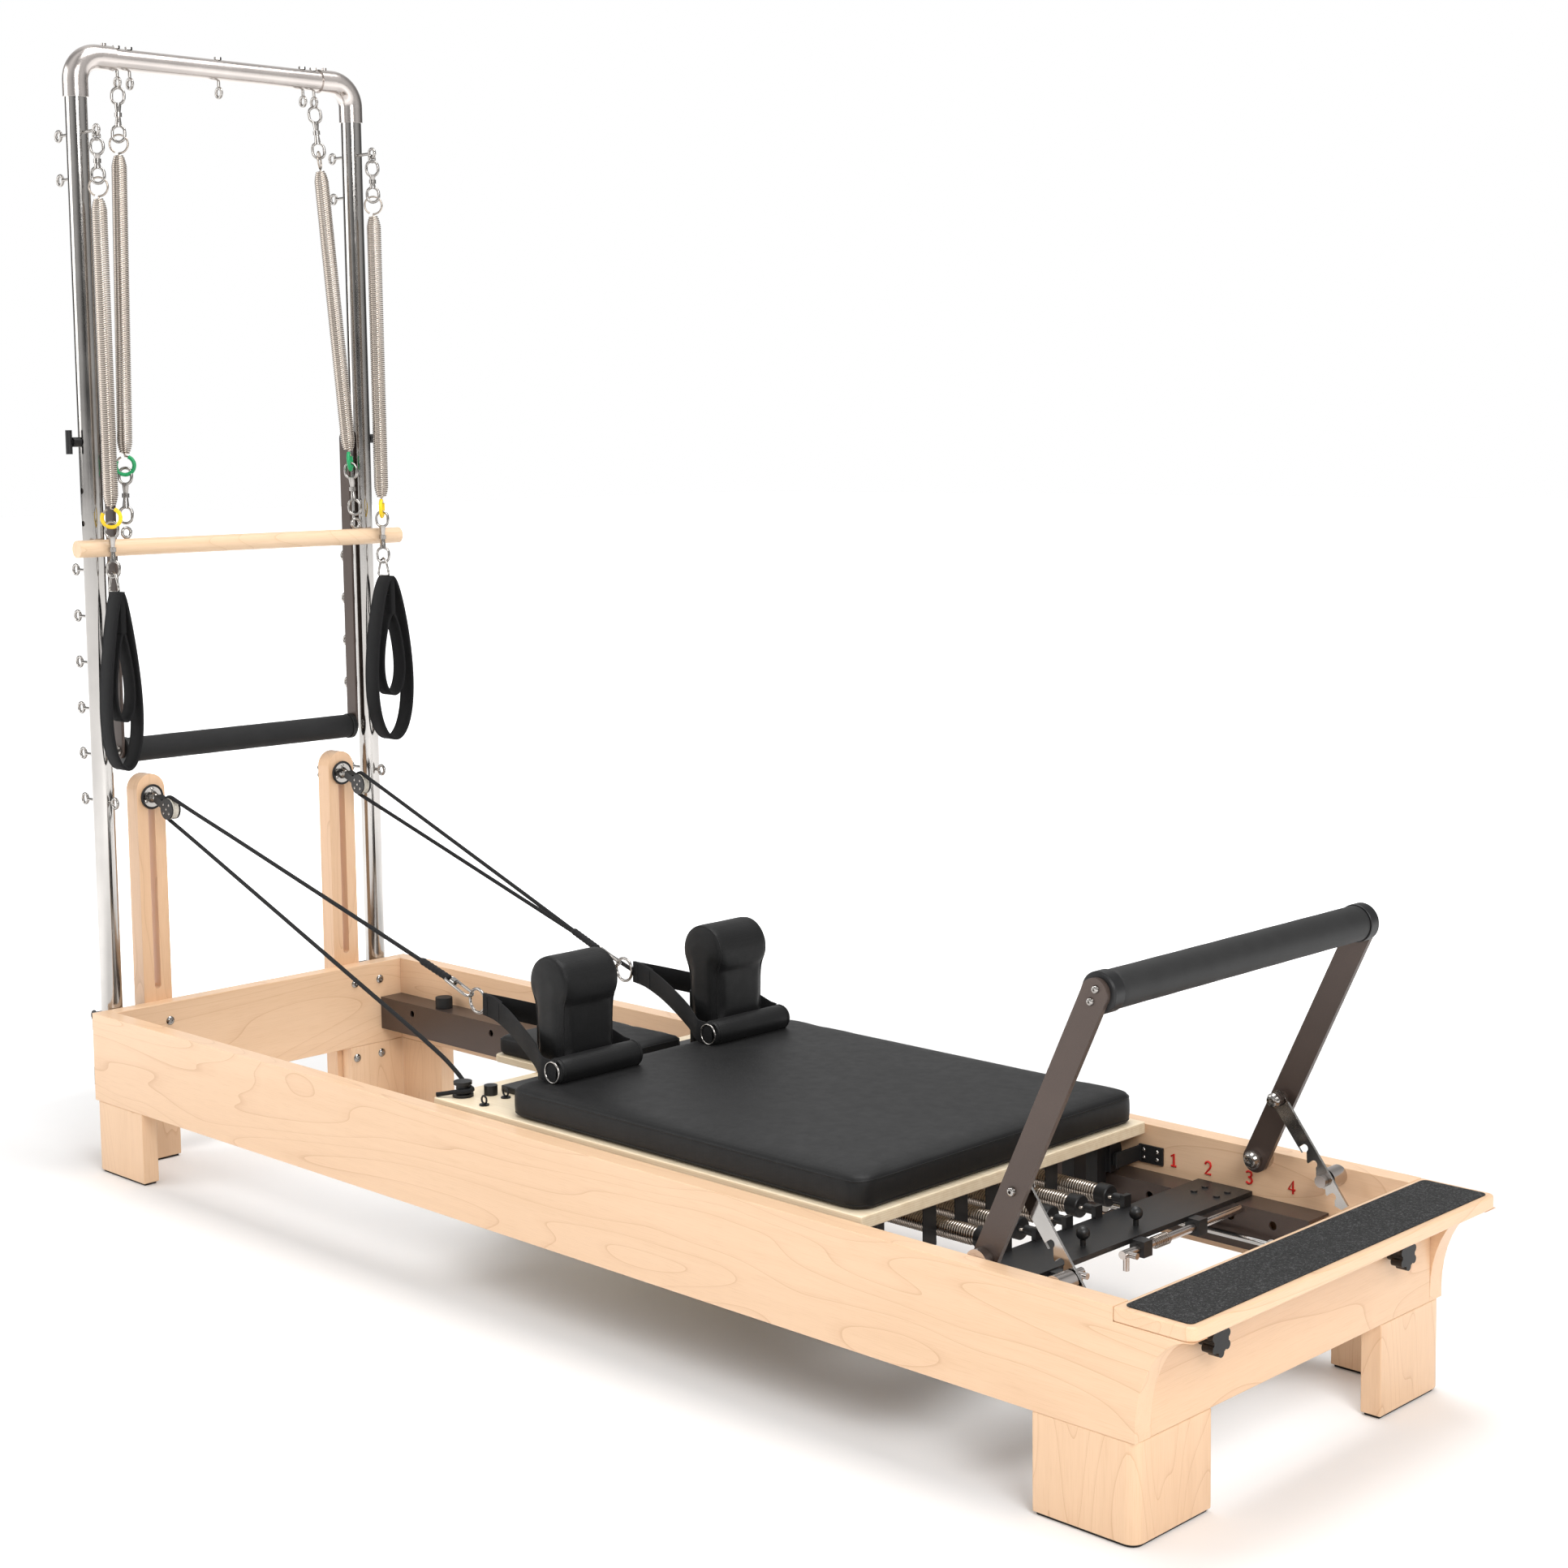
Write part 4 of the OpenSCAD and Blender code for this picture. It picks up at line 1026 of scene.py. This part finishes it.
pad, line, under, top = cushion(
    "carriage_cushion", "carriage_pad", "carriage", (32, 10, 24), [(8, 0.2), (2, 1.2), (0.3, 5)],
    [(0.3, 8), (1.6, 4.2), (4, 2.2), (10, 1.2), (24, 0.8)], 1.5, 0.007, 0.004)
for tag, z in (("top", top - 5), ("low", under + 5)):
    seam("cushion_seam_" + tag, pad, [metres(q.x, q.y, z) for q in line], 0.0013, "carriage")

pad, line, under, top = cushion(
    "headrest_cushion", "headrest_pad", "headrest", (14, 8, 16), [(6, 0.2), (1.5, 1.0), (0.2, 4)],
    [(0.4, 6), (2, 3), (6, 1.4), (14, 0.6)], 1.0, 0.005, 0.003)
seam("headrest_seam", pad, [metres(q.x, q.y, top - 4) for q in line], 0.0011, "headrest")

# shoulder rests: pear-shaped side faces, a band round the edge, a seam on both sides
HEAD_R, WAIST, FOOT = 46, 34, 36
for s, side in SIDES:
    node = "shoulder_rest_" + side
    lo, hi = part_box(node)
    cx = (lo.x + hi.x) / 2
    head_z = (hi.z - HEAD_R / 1000) * 1000
    foot_z, waist_z = lo.z * 1000 + 1, lo.z * 1000 + 41
    p = polar(0, head_z, HEAD_R, -40)
    outline = between((-WAIST, foot_z), (WAIST, foot_z), 8)
    outline += between((FOOT, foot_z), (WAIST, waist_z), 4)[1:]
    outline += between((WAIST, waist_z), p, 6)[1:-1]
    outline += [polar(0, head_z, HEAD_R, a) for a in range(-40, 221, 8)]
    outline += between((-p[0], p[1]), (-WAIST, waist_z), 6)[1:]
    outline += between((-WAIST, waist_z), (-FOOT, foot_z + 4), 4)[1:]
    W = (hi.y - lo.y) * 1000
    ymid = (lo.y + hi.y) / 2 * 1000

    def upright(x, z, depth):
        return Vector((cx + x / 1000, (ymid + W / 2 - depth) / 1000, z / 1000))

    flank = [(12, 1.6), (5, 1.0), (2, 1.8), (0.8, 4.5), (0.2, 12)]
    layers = flank + [(0.6, W / 2)] + [(d, W - z) for d, z in reversed(flank)]
    o = piece("shoulder_cushion_" + side, boxed(outline, layers, upright), VINYL, None, 80)
    finish_cushion(o, node, "carriage", 0.005, 3.5, 0.0035)
    for tag, depth in (("a", 4.0), ("b", W - 4.0)):
        seam("shoulder_seam_%s_%s" % (side, tag), o, [upright(q.x, q.y, depth) for q in inset(outline, 0.4)],
             0.0012, "carriage")

# grip rolls with a steel ring let into the near end
GRIP_ROLL = [(0.004, 0.0085), (0.0006, 0.012), (0.0002, 0.0165), (0.0012, 0.0192), (0.005, 0.0205),
             (0.03, 0.0209), (0.085, 0.0210), (0.14, 0.0209), (0.165, 0.0205), (0.1688, 0.0192),
             (0.1698, 0.0165), (0.1694, 0.012), (0.166, 0.0085)]
for s, side in SIDES:
    c = P(1155 + 59, 0, 354 + 0.5 + 21)
    c.y = (s * 168 - 95) / 1000
    o = lathe("grip_roll_" + side, GRIP_ROLL, c, ACROSS, VINYL, "carriage", 44, 50)
    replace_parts(o, "grip_rolls")
    for dy in (0.006, 0.164):
        hoop("grip_seam_%s_%d" % (side, int(dy * 1000)), c + Vector((0, dy, 0)), 0.0207, ALONG, 0.0008,
             VINYL_SIDE, "carriage", 6, 40)
    hoop("grip_ring_" + side, c + Vector((0, -0.0046, 0)), 0.0165, ALONG, 0.0018,
         STEEL, "carriage", 10, 36, 0.8)

# ------------------------ rope ends and hand straps

STRAP_T = 0.0024
BARREL = [(0, 0.003), (0.001, 0.0058), (0.011, 0.0058), (0.012, 0.003)]
for s, side in SIDES:
    rope, pts = ropes[side]
    path = [pts[0].lerp(pts[0] + (P(760, s * 170.4, 475) - pts[0]), i / 24) for i in range(25)]
    radii = [0.0045] + [0.0062 + 0.0004 * math.sin(i * 2.1) for i in range(1, 24)] + [0.0042]
    cover = tube("rope_sleeve_" + side, path, radii, THREAD, rope_blend(s), 12)
    hook_a, hook_b = P(826, s * 166.2, 454), P(886, s * 165, 431.5)
    hook = tube("rope_snap_" + side, long_ring(hook_a, hook_b, 0.0085, ACROSS), 0.0026,
                STEEL, "carriage", 10, True)
    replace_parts(hook, "strap_hardware")
    barrel = lathe("snap_barrel_" + side, BARREL, P(836, s * 166, 450.3), hook_b - hook_a,
                   STEEL, "carriage", 20, 35)
    dring = hoop("strap_ring_" + side, P(903, s * 164, 425), 0.020, ALONG, 0.0026, STEEL, "carriage", 10, 36)
    cy = s * 168
    front = smooth_path([P(921, cy + 1.5, 423), P(960, cy - 6, 421), P(1020, cy - 26, 414),
                         P(1098, cy - 60.5, 404), P(1150, cy - 80, 390), P(1186, cy - 96.6, 378),
                         P(1208, cy - 97.8, 376), P(1222, cy - 97.8, 375)], 0.004)
    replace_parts(ribbon("hand_strap_" + side, front, UP, 0.037, STRAP_T, "carriage"), "straps")
    fold = [P(921, cy + 1.5, 423), P(924.5, cy + 4, 423), P(928, cy + 3.2, 422.6)]
    fold += [q + Vector((0.0008, 0.0030, 0)) for q in front[3:16]]
    ribbon("hand_strap_fold_" + side, fold, UP, 0.037, STRAP_T, "carriage")
    rear = smooth_path([P(921, cy + 3.5, 423), P(960, cy + 12, 421), P(1020, cy + 34, 414),
                        P(1092, cy + 62, 404), P(1150, cy + 72, 390), P(1180, cy + 76.4, 379),
                        P(1196, cy + 77.2, 377)], 0.004)
    ribbon("hand_strap_rear_" + side, rear, UP, 0.036, STRAP_T, "carriage")
    for k, q in enumerate((front[4], front[14])):
        stitch = [q + Vector((0, -0.0016, -0.015 + 0.0015 * j)) for j in range(21)]
        tube("strap_stitch_%s_%d" % (side, k), stitch, 0.0006, THREAD, "carriage", 6)

# ------------------------ small details

# spring-bar positions, painted on the far rail; each stroke is in parts of a digit's width and height
DIGITS = (
    [[(0.15, 0.78), (0.45, 1.0), (0.45, 0.0)], [(0.15, 0.0), (0.75, 0.0)]],
    [[(0.1, 0.78), (0.2, 0.94), (0.42, 1.0), (0.66, 0.93), (0.74, 0.72), (0.64, 0.5), (0.1, 0.0),
      (0.78, 0.0)]],
    [[(0.1, 0.88), (0.34, 1.0), (0.64, 0.94), (0.72, 0.76), (0.6, 0.58), (0.36, 0.53)],
     [(0.36, 0.53), (0.66, 0.46), (0.78, 0.26), (0.64, 0.06), (0.36, 0.0), (0.1, 0.12)]],
    [[(0.58, 0.0), (0.58, 1.0), (0.08, 0.32), (0.82, 0.32)]])
for k, (strokes, x) in enumerate(zip(DIGITS, (1962, 2025, 2098, 2172))):
    paths = [[P(x - 6 + 15 * u, 327.4, 244 + 19 * w) for u, w in stroke] for stroke in strokes]
    piece("rail_number_%d" % (k + 1), merge([tube_data(q, 0.0017, 6) for q in paths]), RED, "frame", 60)

# bolt heads on the bars' ends
BOLT = [(0, 0.0095), (0.0014, 0.0095), (0.0042, 0.0074), (0.0052, 0.0048), (0.0052, 0.0032),
        (0.003, 0.003), (0.003, 0)]
FLANGE_SCREW = [(0, 0.0032), (0.0008, 0.0031), (0.0016, 0.0018), (0.0016, 0.0011), (0.0008, 0.001),
                (0.0008, 0)]
PIVOT_X, PIVOT_Z = 2123, 291
BAR_LEAN = math.radians(64.7)


def on_arm(d, y):
    """The point on a footbar arm's middle line, d from its pivot."""
    return P(PIVOT_X + d * math.cos(BAR_LEAN), y, PIVOT_Z + d * math.sin(BAR_LEAN))


for s, side in SIDES:
    small = scaled(BOLT, 0.75, 0.58)
    for tag, d, head in (("mid", 112, scaled(BOLT, 1, 0.7)), ("end_a", 406, small), ("end_b", 424, small)):
        lathe("footbar_bolt_%s_%s" % (tag, side), head, on_arm(d, s * 313), (0, s, 0), STEEL, "footbar", 28)
    lathe("footbar_inner_bolt_" + side, scaled(BOLT, 1.3, 1.15), on_arm(112, s * 281), (0, -s, 0),
          STEEL, "footbar", 28)
    lathe("pivot_inner_bolt_" + side, scaled(BOLT, 1.3, 1.25), P(PIVOT_X, s * 297, PIVOT_Z), (0, -s, 0),
          STEEL, "frame", 28)
    lathe("push_bolt_" + side, BOLT, P(-22, s * 270, 782), (0, s, 0), STEEL, "push_bar", 28)
    for k, (x, z) in enumerate(((1909, 248), (1909, 260), (1934, 248), (1934, 260))):
        lathe("stop_screw_%s_%d" % (side, k), scaled(BOLT, 0.4, 0.36), P(x, s * 324, z), (0, -s, 0),
              STEEL, "frame", 16)
    # small return spring on the latch rod
    y0 = 62 if s > 0 else -200
    coil = coil_data(P(2118, y0, 222), P(2118, y0 + 34, 222), 0.0082, 0.0009, 0.0042, 6, 16)
    piece("latch_spring_" + side, coil, NICKEL, "spring_bar", 60)
    # flange rim and screws of the pulley carrier
    c = P(0, s * SHEAVE_Y, 692)
    body = "carrier_" + side
    hoop("flange_rim_" + side, c + Vector((0.0046, 0, 0)), 0.0215, ACROSS, 0.0024, PLASTIC, body, 8, 36)
    for k in range(3):
        t = PI / 2 + k * 2 * PI / 3
        lathe("flange_screw_%s_%d" % (side, k), FLANGE_SCREW,
              c + Vector((0.0053, 0.0155 * math.cos(t), 0.0155 * math.sin(t))), ALONG, STEEL, body, 14)
